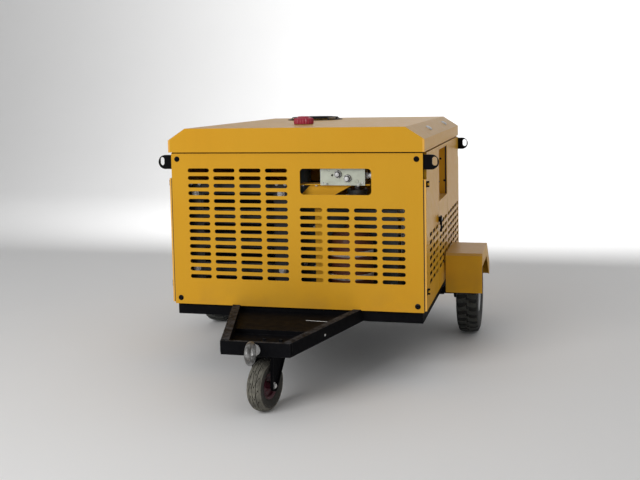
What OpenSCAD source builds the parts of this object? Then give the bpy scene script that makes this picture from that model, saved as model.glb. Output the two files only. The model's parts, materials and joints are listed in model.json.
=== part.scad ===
// Trailer-mounted electric hydraulic power unit: a slotted sheet-metal canopy on a welded frame,
// with an A-shaped drawbar, a swivelling front caster and two wheels on one fixed axle.
// +Z is up, the drawbar points to -Y, and the origin is on the ground under the middle of the
// whole length. Heights are above the ground; lengths run back from the front panel's face.

/* [Canopy] */
// Width of the front panel
body_w = 1260; // [1240:1:1300]
// Length from the front panel's face to the rear panel's face
body_l = 1530; // [1510:1:1600]
// Height of the panels
panel_h = 760; // [750:1:800]
// Height of the canopy's floor above the ground
floor_z = 340; // [335:1:345]

/* [Roof] */
// Height of the roof's straight lip
lip_h = 60; // [45:1:80]
// Width of the sloped shoulder on each side
shoulder_w = 90; // [70:1:110]
// Height of the sloped shoulder
shoulder_h = 58; // [45:1:70]

/* [Slots] */
// Length of one ventilation slot in the end panels
slot_len = 112; // [90:1:116]
// Height of one slot
slot_h = 20; // [14:1:24]
// Distance between rows of slots
slot_row = 38; // [34:1:38]

/* [Running gear] */
// Outside diameter of the main tyres
tyre_d = 465; // [455:1:470]
// Width of the main tyres
tyre_w = 122; // [118:1:135]
// Distance from the front panel's face to the axle
axle_y = 1000; // [980:1:1010]
// Outside diameter of the caster's tyre
caster_d = 230; // [220:1:230]
// Swivel angle at which the caster stands
caster_turn = 12; // [0:1:40]

/* [Drawbar] */
// Distance from the front panel's face to the drawbar's nose
drawbar_l = 642; // [620:1:660]
// Hole in the towing eye
eye_hole_d = 60; // [50:1:60]

/* [Hidden] */
$fn = 48;
run = 0.06;          // radial clearance of a running fit
yellow = "#d29f2e";
black = "#1b1b1e";
steel = "#b9bcbf";

// canopy levels and faces
panel_t = 3;
half_w = body_w / 2;
panel_top = floor_z + panel_h;         // underside of the roof's lip
lip_top = panel_top + lip_h;
roof_z = lip_top + shoulder_h;
roof_over = 10;                        // roof overhang at the sides
roof_over_y = 12;                      // roof overhang at the ends
side_x = half_w + 13;                  // outer face of doors and side panels
post_x = half_w - 2;                   // outer face of the posts
post_w = 40;
post_t = 4;
post_y = 5;                            // front face of the front posts
pan_t = 4;
inner_z = floor_z + pan_t;             // top of the floor pan
rail_h = 20;                           // height of the top rails
tray_d = side_x - post_x;              // depth of a side panel's folded edge
tray_z = panel_top - 6;                // top of the side panels

// chassis
frame_h = 60;
frame_z = floor_z - frame_h;
frame_x = half_w - 8;
frame_y = 20;
rail_w = 60;
wall = 4;
arm_rear_x = 330;                      // drawbar arm's outer edge at the frame
arm_nose_x = 154;                      // drawbar arm's outer edge at the nose
arm_w = 38;
nose_d = 16;
arm_rear_y = frame_y;
arm_front_y = -drawbar_l + nose_d;
arm_slope = (arm_rear_x - arm_nose_x) / (arm_rear_y + drawbar_l);

// towing eye
eye_tube = 21;
eye_t = 28;
eye_r = eye_hole_d / 2 + eye_tube;
eye_collar = 14;
collar_r = 25;
eye_z = floor_z - 32;
eye_y = -drawbar_l - eye_collar - eye_r + 4;
shank_r = 15;

// the row's origin is midway between the towing eye's tip and the roof's rear edge
rear_reach = body_l + roof_over_y;
front_reach = eye_y - eye_r;
y_front = -(rear_reach + front_reach) / 2;

// caster, in a frame at its kingpin: x along the axle, -y towards the wheel
caster_r = caster_d / 2;
caster_w = 70;
caster_trail = 55;
king_x = 10;
king_y = -456;
fork_in = 39;
fork_t = 5;
fork_edge = 15;                        // depth of the fork legs' folded edges
crown_z = caster_d + 8;
crown_t = 8;
bracket_z = frame_z;                   // underside of the caster's mounting plate
caster_axle_r = 6;
king_r = 8;
fork_r = 23;                           // half the width of a fork leg at the axle

// main wheels
tyre_r = tyre_d / 2;
wheel_x = 757;
rim_r = 101;
stub_r = 20;
disc_x = wheel_x - 12;                 // inner face of the rim's disc
stud_pcd = 108;
stud_count = 4;

// fender
fender_in = 651;
fender_out = 848;
fender_top = 497;
fender_low = 281;
fender_t = 3;
fender_half = 285;
fender_skirt = 72;
fender_slope = 53.4;                   // direction the sloped rear face looks in
fender_gap = 34;                       // from the tyre to the sloped face

// slots
slot_gap = 22;
slot_pitch = slot_len + slot_gap;
slot_inner = 30;                       // from the centreline to the first slot
slot_cols = 4;
slot_top = panel_top - 90;             // centre of the highest row
left_rows = 15;
right_rows = 10;
rear_rows = 7;
side_slot_len = 100;
side_rows = 7;
side_slot_z = 458;

// window in the front panel
win_x = 34;
win_w = 350;
win_h = 126;
win_r = 18;
win_z = slot_top + slot_h / 2 - win_h;

// panel screws
bolt_x = 600;
bolt_levels = [floor_z + 26, panel_top - 34];

// doors and side panels, measured back from the front panel's face
trim_y = 28;
trim_top = 970;
panel_drop = 4;                        // how far the end panels hang below the floor
arm_gap = 1;                           // gap beside an arm where it passes the front panel
door_y0 = 32;
door_y1 = 498;
mid_y0 = 502;
mid_y1 = 898;
back_y0 = 902;
back_y1 = body_l - 30;
recess_y0 = 518;
recess_y1 = 884;
recess_z0 = 806;
recess_z1 = 1076;
recess_back = 586;                     // face that carries the controls
hinge_x = side_x + 7;
hinge_y = 30;
hinge_r = 6;
hinge_pin_r = 3;
hinge_zs = [420, 932];
hinge_len = 28;
latch_y = 462;
latch_z = 720;
latch_r = 6;
gland_y = 1440;
gland_z = 402;
gland_r = 20;                          // hole for the gland in the sheet
gland_bore = 14;

// roof fittings
fan_x = -190;
fan_y = 1190;
fan_hole_r = 138;
filler_x = -60;
filler_y = 440;
neck_r = 30;

// hydraulics and drive
tank_a = [-200, 330, 364];             // opposite corners of the oil tank
tank_b = [450, 690, 780];
shelf_z = 941;
shelf_t = 5;
block_x0 = 126;
block_x1 = 346;
block_y0 = 40;
block_y1 = 110;
port_spots = [[214, 990], [261, 970]]; // x and z of the two hose ports
port_r = 10.5;
gauge_spot = [186, 985];
motor_y = 1080;
motor_z = 590;
motor_r = 185;
shaft_r = 30;
pump_port_y = 90;                      // from the pump's axis to the suction port's face
button_r = 11;
button_z = 985;
start_y = 730;
stop_y = 790;
estop_y = 600;
switch_y = 760;
switch_z = 890;

module at_front() translate([0, y_front, 0]) children();
module both_sides() for (s = [0, 1]) mirror([s, 0, 0]) children();
module on_side(s) mirror([s < 0 ? 1 : 0, 0, 0]) children();

// box from one corner to the other
module block(a, b) translate(a) cube(b - a);

// cylinders along X and Y
module rod_x(r, x0, x1) translate([x0, 0, 0]) rotate([0, 90, 0]) cylinder(r = r, h = x1 - x0);
module rod_y(r, y0, y1) translate([0, y0, 0]) rotate([-90, 0, 0]) cylinder(r = r, h = y1 - y0);
// turned shape about the X axis, from [radius, x] points
module turned_x(points) rotate([0, 90, 0]) rotate_extrude($fn = 96) polygon(points);

module slot_2d(length, height) {
  square([length - height, height], center = true);
  for (s = [-1, 1]) translate([s * (length - height) / 2, 0]) circle(d = height, $fn = 24);
}

module rounded_2d(w, h, r) {
  translate([r, 0]) square([w - 2 * r, h]);
  translate([0, r]) square([w, h - 2 * r]);
  for (x = [r, w - r], y = [r, h - r]) translate([x, y]) circle(r = r);
}

// rectangular tube along X with closed ends
module closed_tube(length, depth, height) difference() {
  cube([length, depth, height]);
  translate([wall, wall, wall]) cube([length, depth, height] - 2 * [wall, wall, wall]);
}

// ---- chassis -----------------------------------------------------------------------------

module base_frame() at_front() color(black) {
  inner = frame_x - rail_w;
  end_y = body_l - frame_y;
  both_sides() translate([-inner, frame_y, frame_z]) rotate([0, 0, 90])
    closed_tube(end_y - frame_y, rail_w, frame_h);
  for (y = [frame_y, 480, axle_y - rail_w / 2, end_y - rail_w])
    translate([-inner, y, frame_z]) closed_tube(2 * inner, rail_w, frame_h);
}

module floor_pan() at_front() color(black)
  block([-post_x, post_y, floor_z], [post_x, body_l - post_y, inner_z]);

// plan of one drawbar arm, shrunk by a wall thickness for its hollow
module arm_2d(inset) {
  x0 = arm_nose_x + arm_slope * nose_d;
  polygon([[x0 - arm_w + inset, arm_front_y + inset], [x0 - inset, arm_front_y + inset],
    [arm_rear_x - inset, arm_rear_y - inset], [arm_rear_x - arm_w + inset, arm_rear_y - inset]]);
}

// inner edge of an arm at y
function arm_inner(y) = arm_nose_x - arm_w + arm_slope * (drawbar_l + y);

module drawbar_frame() at_front() color(black) {
  both_sides() translate([0, 0, frame_z]) difference() {
    linear_extrude(frame_h) arm_2d(0);
    translate([0, 0, wall]) linear_extrude(frame_h - 2 * wall) arm_2d(wall);
  }
  difference() {
    x1 = arm_nose_x + arm_slope * nose_d;
    translate([0, 0, frame_z]) linear_extrude(frame_h)
      polygon([[-arm_nose_x, -drawbar_l], [arm_nose_x, -drawbar_l], [x1, arm_front_y], [-x1, arm_front_y]]);
    translate([0, 0, eye_z]) rod_y(shank_r + 0.5, -drawbar_l - 1, arm_front_y + 1);
  }
}

// plate between the arms for the caster, and the deck plate behind it with its front lip
module caster_bracket() at_front() color(black) {
  front = -590;
  back = -330;
  deck_z = floor_z - 30;
  x0 = arm_inner(front);
  x1 = arm_inner(back);
  x2 = arm_inner(frame_y);
  difference() {
    translate([0, 0, bracket_z]) linear_extrude(8)
      polygon([[-x0, front], [x0, front], [x1, back], [-x1, back]]);
    translate([king_x, king_y, bracket_z]) caster_bolt_spots()
      translate([0, 0, -1]) cylinder(r = 5.4, h = 10);
  }
  translate([0, 0, deck_z - 6]) linear_extrude(6)
    polygon([[-x1, back], [x1, back], [x2, frame_y], [-x2, frame_y]]);
  block([-x1, back, bracket_z + 7], [x1, back + 6, deck_z - 5]);
}

module caster_bolt_spots() for (x = [-38, 38], y = [-34, 34]) translate([x, y, 0]) children();

// forged ring eye: flat-sided ring with a collar and a threaded shank through the nose
module tow_eye() at_front() translate([0, 0, eye_z]) color(steel) {
  land = 7;
  difference() {
    union() {
      translate([0, eye_y, 0]) turned_x([[eye_hole_d / 2, -land], [eye_hole_d / 2, land],
        [eye_hole_d / 2 + 7, eye_t / 2], [eye_r - 7, eye_t / 2], [eye_r, land],
        [eye_r, -land], [eye_r - 7, -eye_t / 2], [eye_hole_d / 2 + 7, -eye_t / 2]]);
      rod_y(collar_r, -drawbar_l - eye_collar, -drawbar_l);
      rod_y(shank_r, -drawbar_l - eye_collar, arm_front_y + 34);
    }
    translate([0, eye_y, 0]) rod_x(eye_hole_d / 2, -eye_t, eye_t);
  }
  difference() {
    union() {
      rod_y(28, arm_front_y, arm_front_y + 4);
      translate([0, arm_front_y + 4, 0]) rotate([-90, 0, 0]) cylinder(r = 26, h = 22, $fn = 6);
    }
    rod_y(shank_r, arm_front_y - 1, arm_front_y + 60);
  }
}

// ---- caster ------------------------------------------------------------------------------

module at_kingpin() at_front() translate([king_x, king_y, 0]) children();
module caster_frame() at_kingpin() rotate([0, 0, -caster_turn]) children();
module at_caster_axle() caster_frame() translate([0, -caster_trail, caster_r]) children();

module caster_top_plate() at_kingpin() color(steel) {
  plate_z = bracket_z - 8;
  race_z = crown_z + crown_t + 0.5;
  difference() {
    translate([-54, -48, plate_z]) linear_extrude(8) rounded_2d(108, 96, 8);
    caster_bolt_spots() translate([0, 0, plate_z - 1]) cylinder(r = 5.4, h = 10);
  }
  translate([0, 0, race_z]) cylinder(r = 34, h = plate_z - race_z);
  translate([0, 0, crown_z - 1]) cylinder(r = king_r, h = race_z - crown_z + 2);
  translate([0, 0, crown_z - 8]) cylinder(r = 13, h = 7.5);
}

module caster_plate_bolts() at_kingpin() color(black) caster_bolt_spots() {
  translate([0, 0, bracket_z - 8 - 6.4]) cylinder(r = 9, h = 6.4, $fn = 6);
  translate([0, 0, bracket_z - 8]) cylinder(r = 5, h = 26);
  translate([0, 0, bracket_z + 8]) cylinder(r = 9, h = 8, $fn = 6);
}

// outline of one leg of the fork, drawn in inset: y across, z up from the axle
module fork_leg_2d(inset) {
  top = crown_z + crown_t - caster_r;
  circle(r = fork_r - inset);
  polygon([[inset - fork_r, 4], [fork_r - inset, -4], [caster_trail + 36 - inset, top - 30],
    [caster_trail + 36 - inset, top - inset], [inset - 18, top - inset], [inset - 18, top - 16 + inset]]);
}

// pressed leg, as it stands on the right: a web with folded edges that point outwards
module fork_leg() rotate([90, 0, 90]) difference() {
  linear_extrude(fork_edge) fork_leg_2d(0);
  translate([0, 0, fork_t]) linear_extrude(fork_edge) fork_leg_2d(3);
  translate([0, 0, -1]) cylinder(r = caster_axle_r + 0.05, h = fork_edge);
}

module caster_fork() color(black) {
  caster_frame() difference() {
    translate([-fork_in - 1, -caster_trail - 18, crown_z]) cube([2 * fork_in + 2, caster_trail + 54, crown_t]);
    translate([0, 0, crown_z - 1]) cylinder(r = king_r + run, h = crown_t + 2);
  }
  at_caster_axle() both_sides() translate([fork_in, 0, 0]) fork_leg();
}

module caster_axle() at_caster_axle() color(steel) {
  out = fork_in + fork_t;
  rod_x(caster_axle_r, -out - 2, out + 14);
  both_sides() rod_x(15, out, out + 2.5);
  translate([-out - 10, 0, 0]) rotate([0, 90, 0]) cylinder(r = 10, h = 8, $fn = 6);
  translate([out + 2, 0, 0]) rotate([0, 90, 0]) cylinder(r = 10, h = 9, $fn = 6);
}

module caster_rim() at_caster_axle() color("#6e1220") turned_x([
  [caster_axle_r + run, 0.6 - fork_in], [15, 0.6 - fork_in], [17, -11], [32, -7], [46, -11],
  [50, -23], [60, -28], [60, -25], [55, -20], [55, 20], [60, 25], [60, 28], [50, 23],
  [46, 11], [32, 7], [17, 11], [15, fork_in - 0.6], [caster_axle_r + run, fork_in - 0.6]]);

module caster_tyre() at_caster_axle() color("#3a3a37") {
  h = caster_w / 2;
  turned_x([[55, -20], [60, -25], [62, -29], [74, -h + 2], [88, -h], [99, -h + 3], [108, -h + 9],
    [113, -h + 18], [caster_r, -6], [caster_r, 6], [113, h - 18], [108, h - 9], [99, h - 3],
    [88, h], [74, h - 2], [62, 29], [60, 25], [55, 20]]);
}

// ---- axle and main wheels ----------------------------------------------------------------

module at_axle() at_front() translate([0, axle_y, tyre_r]) children();

module axle_beam() at_axle() color(black) {
  beam = 44;
  block([-610, -beam / 2, -beam / 2], [610, beam / 2, beam / 2]);
  both_sides() {
    rod_x(stub_r, 600, disc_x + 18);
    block([frame_x - rail_w, -40, beam / 2 - 1], [frame_x, 40, frame_z - tyre_r]);
  }
}

module wheel_hub(s) at_axle() on_side(s) color(black) difference() {
  turned_x([[stub_r + run, 668], [40, 668], [44, 690], [44, disc_x - 14], [70, disc_x - 10],
    [70, disc_x], [33, disc_x], [33, disc_x + 22], [28, disc_x + 29], [0, disc_x + 29],
    [0, disc_x + 24], [stub_r + run, disc_x + 24]]);
  wheel_stud_spots() rod_x(5.9, disc_x - 20, disc_x + 1);
}
module wheel_hub_left() wheel_hub(-1);
module wheel_hub_right() wheel_hub(1);

module wheel_stud_spots() for (k = [0 : stud_count - 1])
  rotate([45 + k * 360 / stud_count, 0, 0]) translate([0, stud_pcd / 2, 0]) children();

module wheel_rim(s) at_axle() on_side(s) color("#c9ccce") difference() {
  half = 52;
  turned_x([[33.2, disc_x], [72, disc_x], [82, disc_x - 14], [95, disc_x - 18],
    [95, wheel_x - half + 6], [110, wheel_x - half], [114, wheel_x - half],
    [114, wheel_x - half + 4], [rim_r, wheel_x - half + 10], [rim_r, wheel_x + half - 10],
    [114, wheel_x + half - 4], [114, wheel_x + half], [110, wheel_x + half],
    [95, wheel_x + half - 6], [95, disc_x - 10], [84, disc_x - 6], [74, disc_x + 6],
    [33.2, disc_x + 6]]);
  wheel_stud_spots() rod_x(6.3, disc_x - 30, disc_x + 20);
}
module wheel_rim_left() wheel_rim(-1);
module wheel_rim_right() wheel_rim(1);

module wheel_tyre(s) at_axle() on_side(s) color("#242423") {
  h = tyre_w / 2;
  translate([wheel_x, 0, 0]) turned_x([[rim_r, -42], [114, -48], [116, -54], [140, -h + 3],
    [170, -h], [195, -h + 1], [214, -h + 8], [tyre_r - 6, -h + 18], [tyre_r, -h + 34],
    [tyre_r, h - 34], [tyre_r - 6, h - 18], [214, h - 8], [195, h - 1], [170, h],
    [140, h - 3], [116, 54], [114, 48], [rim_r, 42]]);
}
module wheel_tyre_left() wheel_tyre(-1);
module wheel_tyre_right() wheel_tyre(1);

module wheel_nuts(s) at_axle() on_side(s) color(steel) wheel_stud_spots() {
  rod_x(5.9, disc_x - 9, disc_x + 26);
  translate([disc_x + 6, 0, 0]) rotate([0, 90, 0]) cylinder(r = 11, h = 12, $fn = 6);
}
module wheel_nuts_left() wheel_nuts(-1);
module wheel_nuts_right() wheel_nuts(1);

// folded sheet over the wheel: its outline in the Y-Z plane, moved in by inset, with the front
// flap's face at front and its lower edge at low
module fender_2d(inset, front, low) {
  reach = tyre_r + fender_gap - inset;
  top = fender_top - tyre_r - inset;
  y1 = fender_half - min(inset, fender_t);
  polygon([[front, low], [front, top - 12], [front + 12, top],
    [(reach - top * sin(fender_slope)) / cos(fender_slope), top],
    [y1, (reach - y1 * cos(fender_slope)) / sin(fender_slope)], [y1, low]]);
}

module fender(s) at_axle() on_side(s) color(yellow) {
  slice = fender_out - fender_in;
  low = fender_low - tyre_r;
  front = -fender_half + fender_t;
  translate([fender_in, 0, 0]) rotate([90, 0, 90]) difference() {
    linear_extrude(slice) fender_2d(0, -fender_half, low);
    translate([0, 0, fender_t]) linear_extrude(slice - 2 * fender_t)
      fender_2d(fender_t, front, low - 60);
    translate([0, 0, -1]) linear_extrude(slice + 2) fender_2d(fender_skirt, front, low - 60);
  }
}
module fender_left() fender(-1);
module fender_right() fender(1);

module fender_brackets() at_axle() color(black) both_sides() for (y = [20, 190]) {
  block([frame_x, y, 62], [fender_in, y + 40, 92]);
  block([fender_in - 6, y, 62], [fender_in, y + 40, 235]);
}

// ---- canopy ------------------------------------------------------------------------------

// corner angle, standing at the front left of the canopy
module post(h) difference() {
  cube([post_w, post_w, h]);
  translate([post_t, post_t, -1]) cube([post_w, post_w, h + 2]);
}

module canopy_frame() at_front() color(black) {
  h = panel_top - inner_z;
  rail_z = panel_top - rail_h;
  both_sides() {
    difference() {
      union() {
        translate([-post_x, post_y, inner_z]) post(h);
        translate([-post_x, body_l - post_y, inner_z]) mirror([0, 1, 0]) post(h);
      }
      for (z = bolt_levels) translate([-bolt_x, 0, z]) rod_y(5.3, -1, body_l + 1);
    }
    for (y = [486, 890]) block([-post_x, y, inner_z], [-post_x + post_t, y + 18, rail_z]);
    block([-post_x, post_y + post_w, rail_z], [-post_x + post_t, body_l - post_y - post_w, panel_top]);
    block([-post_x + post_t, post_y + post_w, panel_top - post_t],
      [-post_x + post_w, body_l - post_y - post_w, panel_top]);
  }
  for (y = [post_y, body_l - post_y - post_t])
    block([-post_x + post_w, y, rail_z], [post_x - post_w, y + post_t, panel_top]);
}

// plate lug with an oval eye, standing out from a post
module lug() rotate([90, 0, 0]) linear_extrude(14) difference() {
  r = 35;
  union() {
    translate([0, -r]) square([40, 2 * r]);
    translate([40, 0]) circle(r = r);
  }
  translate([56, 4]) rotate(90) slot_2d(42, 25);
}

module lifting_lugs() at_front() color(black) both_sides() for (y = [24, body_l - 10])
  translate([post_x, y, panel_top - 49]) lug();

// rows of slots in an end panel, on the side of the centreline given by s
module slot_grid_2d(s, rows) for (c = [0 : slot_cols - 1], r = [0 : rows - 1])
  translate([s * (slot_inner + slot_len / 2 + c * slot_pitch), slot_top - (left_rows - rows + r) * slot_row])
    slot_2d(slot_len, slot_h);

module end_panel_2d() difference() {
  translate([-half_w, floor_z - panel_drop]) square([body_w, panel_h - 6 + panel_drop]);
  for (x = [-bolt_x, bolt_x], z = bolt_levels) translate([x, z]) circle(r = 5.3);
}

// gap in the front panel's lower edge over each drawbar arm
module arm_notches_2d() both_sides()
  translate([arm_inner(0) - arm_gap, floor_z - panel_drop - 1])
    square([arm_w + 3 * arm_gap, panel_drop + 1 + 0.4]);

module front_panel() at_front() color(yellow)
  translate([0, panel_t, 0]) rotate([90, 0, 0]) linear_extrude(panel_t) difference() {
    end_panel_2d();
    arm_notches_2d();
    slot_grid_2d(-1, left_rows);
    slot_grid_2d(1, right_rows);
    translate([win_x, win_z]) rounded_2d(win_w, win_h, win_r);
  }

module rear_panel() at_front() color(yellow)
  translate([0, body_l, 0]) rotate([90, 0, 0]) linear_extrude(panel_t) difference() {
    end_panel_2d();
    slot_grid_2d(-1, rear_rows);
    slot_grid_2d(1, rear_rows);
  }

// side sheet with folded edges, from y0 to y1, as it stands on the right; depth is the fold's
module tray(y0, y1, depth) difference() {
  block([side_x - depth, y0, inner_z], [side_x, y1, tray_z]);
  block([side_x - depth - 1, y0 + panel_t, inner_z + panel_t],
    [side_x - panel_t, y1 - panel_t, tray_z - panel_t]);
}

module side_slots(y0, cols, pitch) for (c = [0 : cols - 1], r = [0 : side_rows - 1])
  translate([side_x - panel_t - 1, y0 + side_slot_len / 2 + c * pitch, side_slot_z + r * slot_row])
    rotate([90, 0, 90]) linear_extrude(panel_t + 2) slot_2d(side_slot_len, slot_h);

module side_panels(recess) {
  difference() {
    tray(mid_y0, mid_y1, tray_d);
    side_slots(524, 3, 118);
    if (recess) block([side_x - panel_t - 1, recess_y0, recess_z0],
      [side_x + 1, recess_y1, recess_z1]);
  }
  difference() {
    tray(back_y0, back_y1, tray_d);
    side_slots(918, 5, 118);
    if (!recess) translate([0, gland_y, gland_z]) rod_x(gland_r, side_x - 10, side_x + 1);
  }
}
module side_panels_right() at_front() color(yellow) side_panels(true);
module side_panels_left() at_front() color(yellow) on_side(-1) {
  side_panels(false);
  translate([0, gland_y, gland_z]) difference() {
    union() {
      rod_x(gland_r + 4, side_x, side_x + 6);
      rod_x(gland_r, side_x - 12, side_x + 28);
    }
    rod_x(gland_bore, side_x - 13, side_x + 29);
  }
}

// folded strips that close the four corners beside the end panels
module corner_trims() at_front() color(yellow) both_sides() for (end = [0, 1])
  translate([0, end * body_l, 0]) mirror([0, end, 0]) {
    block([half_w - 20, panel_t, inner_z], [side_x, post_y, trim_top]);
    block([side_x - 2, post_y, inner_z], [side_x, trim_y, trim_top]);
  }

// service door as it stands on the right, with its two hinge knuckles
module door() difference() {
  union() {
    difference() {
      tray(door_y0, door_y1, tray_d - 1);
      side_slots(128, 3, 122);
    }
    for (z = hinge_zs) {
      block([side_x, hinge_y + 1, z + 8.3], [side_x + 3, door_y0 + 22, z + 19.7]);
      translate([hinge_x, hinge_y, z + 8.3]) cylinder(r = hinge_r, h = 11.4);
    }
    translate([0, latch_y, latch_z]) rod_x(24, side_x - panel_t, side_x + 3);
  }
  for (z = hinge_zs) translate([hinge_x, hinge_y, z]) cylinder(r = hinge_pin_r + run, h = hinge_len);
  translate([0, latch_y, latch_z]) rod_x(latch_r + run, side_x - 20, side_x + 4);
}
module door_right() at_front() color(yellow) door();
module door_left() at_front() color(yellow) on_side(-1) door();

module door_hinges() at_front() color(black) both_sides() for (z = hinge_zs) {
  block([side_x, 8, z], [side_x + 3, hinge_y - 7, z + hinge_len]);
  for (dz = [0, hinge_len - 8]) {
    block([side_x, hinge_y - 8, z + dz], [side_x + 3, hinge_y, z + dz + 8]);
    translate([hinge_x, hinge_y, z + dz]) cylinder(r = hinge_r, h = 8);
  }
  translate([hinge_x, hinge_y, z]) cylinder(r = hinge_pin_r, h = hinge_len);
}

// quarter-turn lever, drawn unlatched, with a cam that turns in behind the middle post
module latch() translate([0, latch_y, latch_z]) {
  rod_x(latch_r, post_x - post_t - 10, side_x + 6);
  rod_x(15, side_x + 3.3, side_x + 12);
  translate([side_x + 12, 0, 0]) rotate([90, 0, 90]) linear_extrude(8) {
    translate([-8, -58]) square([16, 70]);
    translate([0, 12]) circle(r = 8);
    translate([0, -58]) circle(r = 8);
  }
  translate([side_x + 11.9, 0, 0]) rod_x(15, 0, 4);
  block([post_x - post_t - 8, -8, -8], [post_x - post_t - 2, 8, 38]);
}
module door_latch_right() at_front() color(black) latch();
module door_latch_left() at_front() color(black) on_side(-1) latch();

// roof section: lip, sloped shoulder and flat top, less by inset
module roof_2d(inset) {
  x = half_w + roof_over - inset;
  soft = 0.28 * inset;
  polygon([[-x, panel_top - 1], [-x, lip_top - soft], [-x + shoulder_w - soft, roof_z - inset],
    [x - shoulder_w + soft, roof_z - inset], [x, lip_top - soft], [x, panel_top - 1]]);
}

module roof_cover() at_front() color(yellow) difference() {
  len = body_l + 2 * roof_over_y;
  translate([0, -roof_over_y, 0]) rotate([90, 0, 180]) linear_extrude(len) intersection() {
    roof_2d(0);
    translate([-body_w, panel_top]) square([2 * body_w, 300]);
  }
  difference() {
    translate([0, -roof_over_y + panel_t, 0]) rotate([90, 0, 180])
      linear_extrude(len - 2 * panel_t) roof_2d(panel_t);
    both_sides() block([post_x - 30, -roof_over_y, panel_top],
      [half_w + roof_over, body_l + roof_over_y, panel_top + panel_t]);
  }
  translate([fan_x, fan_y, lip_top]) cylinder(r = fan_hole_r, h = 100);
  translate([filler_x, filler_y, lip_top]) cylinder(r = 34, h = 100);
  both_sides() shoulder_spots() translate([0, 0, -20]) cylinder(r = 6.2, h = 40);
}

// fastener places on the sloped shoulder, with z square to the slope
module shoulder_spots() {
  slope = atan(shoulder_h / shoulder_w);
  for (y = [0.32, 0.76]) translate([half_w + roof_over - shoulder_w / 2, y * body_l, lip_top + shoulder_h / 2])
    rotate([0, slope, 0]) children();
}

module button_bolt(r, h, shank, length) {
  cylinder(r1 = r, r2 = r * 0.62, h = h);
  translate([0, 0, -length]) cylinder(r = shank, h = length);
}

module panel_bolts() at_front() color(black) for (x = [-bolt_x, bolt_x], z = bolt_levels) {
  translate([x, 0, z]) rotate([90, 0, 0]) button_bolt(13, 7, 5, 14);
  translate([x, body_l, z]) rotate([-90, 0, 0]) button_bolt(13, 7, 5, 14);
}

module roof_bolts() at_front() color(steel) both_sides() shoulder_spots()
  button_bolt(19, 9, 6, 12);

// ---- roof fittings -----------------------------------------------------------------------

module at_fan() at_front() translate([fan_x, fan_y, roof_z]) children();

module flat_ring(r, w, z, h) translate([0, 0, z]) difference() {
  cylinder(r = r + w / 2, h = h);
  translate([0, 0, -1]) cylinder(r = r - w / 2, h = h + 2);
}

module roof_fan_guard() at_fan() color(black) {
  top = 19;
  difference() {
    cylinder(r = 166, h = 4);
    translate([0, 0, -1]) cylinder(r = fan_hole_r, h = 6);
  }
  for (r = [52 : 25 : 152]) flat_ring(r, 5, top - 4, 4);
  translate([0, 0, top - 5]) cylinder(r = 34, h = 6);
  for (k = [0 : 7]) rotate([0, 0, 45 * k]) {
    block([20, -2.5, top - 4.5], [157, 2.5, top - 0.5]);
    block([153, -2.5, 1], [157, 2.5, top - 1]);
  }
}

// shroud under the roof with a cross bar that carries the motor
module roof_fan_motor() at_fan() color(black) {
  low = -panel_t - 104;
  difference() {
    translate([0, 0, low]) cylinder(r = fan_hole_r + 4, h = 104);
    translate([0, 0, low - 1]) cylinder(r = fan_hole_r, h = 106);
  }
  block([-fan_hole_r - 1, -15, low], [fan_hole_r + 1, 15, low + 5]);
  translate([0, 0, low]) cylinder(r = 45, h = 54);
  translate([0, 0, low]) cylinder(r = 6, h = 92);
}

module roof_fan() at_fan() color("#2a2a2c") {
  hub_z = -52;
  blade_x0 = 36;
  blade_x1 = fan_hole_r - 12;
  difference() {
    union() {
      translate([0, 0, hub_z]) cylinder(r = 42, h = 34);
      for (k = [0 : 4]) rotate([0, 0, 72 * k]) translate([(blade_x0 + blade_x1) / 2, 0, hub_z + 17])
        rotate([28, 0, 0]) cube([blade_x1 - blade_x0, 58, 3], center = true);
    }
    translate([0, 0, hub_z - 1]) cylinder(r = 6 + run, h = 60);
  }
}

module filler_cap() at_front() color("#b3163a") translate([filler_x, filler_y, roof_z + 0.5]) difference() {
  union() {
    cylinder(r = 50, h = 30);
    translate([0, 0, 30]) cylinder(r1 = 50, r2 = 38, h = 12);
    for (k = [0 : 11]) rotate([0, 0, 30 * k]) translate([50, 0, 0]) cylinder(r = 4, h = 28);
  }
  translate([0, 0, -1]) cylinder(r = neck_r + run, h = 25);
}

// ---- hydraulics --------------------------------------------------------------------------

module oil_tank() at_front() color("#3c4246") difference() {
  union() {
    block(tank_a, tank_b);
    for (x = [tank_a[0] + 20, tank_b[0] - 60], y = [tank_a[1] + 10, tank_b[1] - 60])
      block([x, y, inner_z], [x + 40, y + 50, tank_a[2]]);
    translate([filler_x, filler_y, tank_b[2] - 1]) cylinder(r = neck_r, h = roof_z + 24 - tank_b[2]);
    translate([20, tank_a[1] - 8, 580]) rod_y(120, 0, 9);
  }
  block(tank_a + [4, 4, 4], tank_b - [4, 4, 4]);
  translate([filler_x, filler_y, tank_b[2] - 10]) cylinder(r = 26, h = 500);
}

module return_filter() at_front() color("#8f9499") translate([200, 560, tank_b[2]]) {
  cylinder(r = 62, h = 8);
  translate([0, 0, 8]) cylinder(r = 50, h = 60);
  translate([0, 0, 68]) cylinder(r = 56, h = 14);
  translate([0, 0, 82]) cylinder(r = 17, h = 23, $fn = 6);
}

// bladder accumulator, standing on a base ring
module accumulator() at_front() color("#7a3a28") translate([236, 200, inner_z]) {
  cylinder(r = 72, h = 26);
  rotate_extrude($fn = 96) polygon([[0, 16], [40, 18], [76, 30], [100, 54], [112, 88],
    [112, 290], [100, 326], [76, 350], [40, 362], [0, 364]]);
  translate([0, 0, 360]) cylinder(r = 24, h = 16, $fn = 6);
  translate([0, 0, 374]) cylinder(r = 11, h = 22);
}

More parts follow.
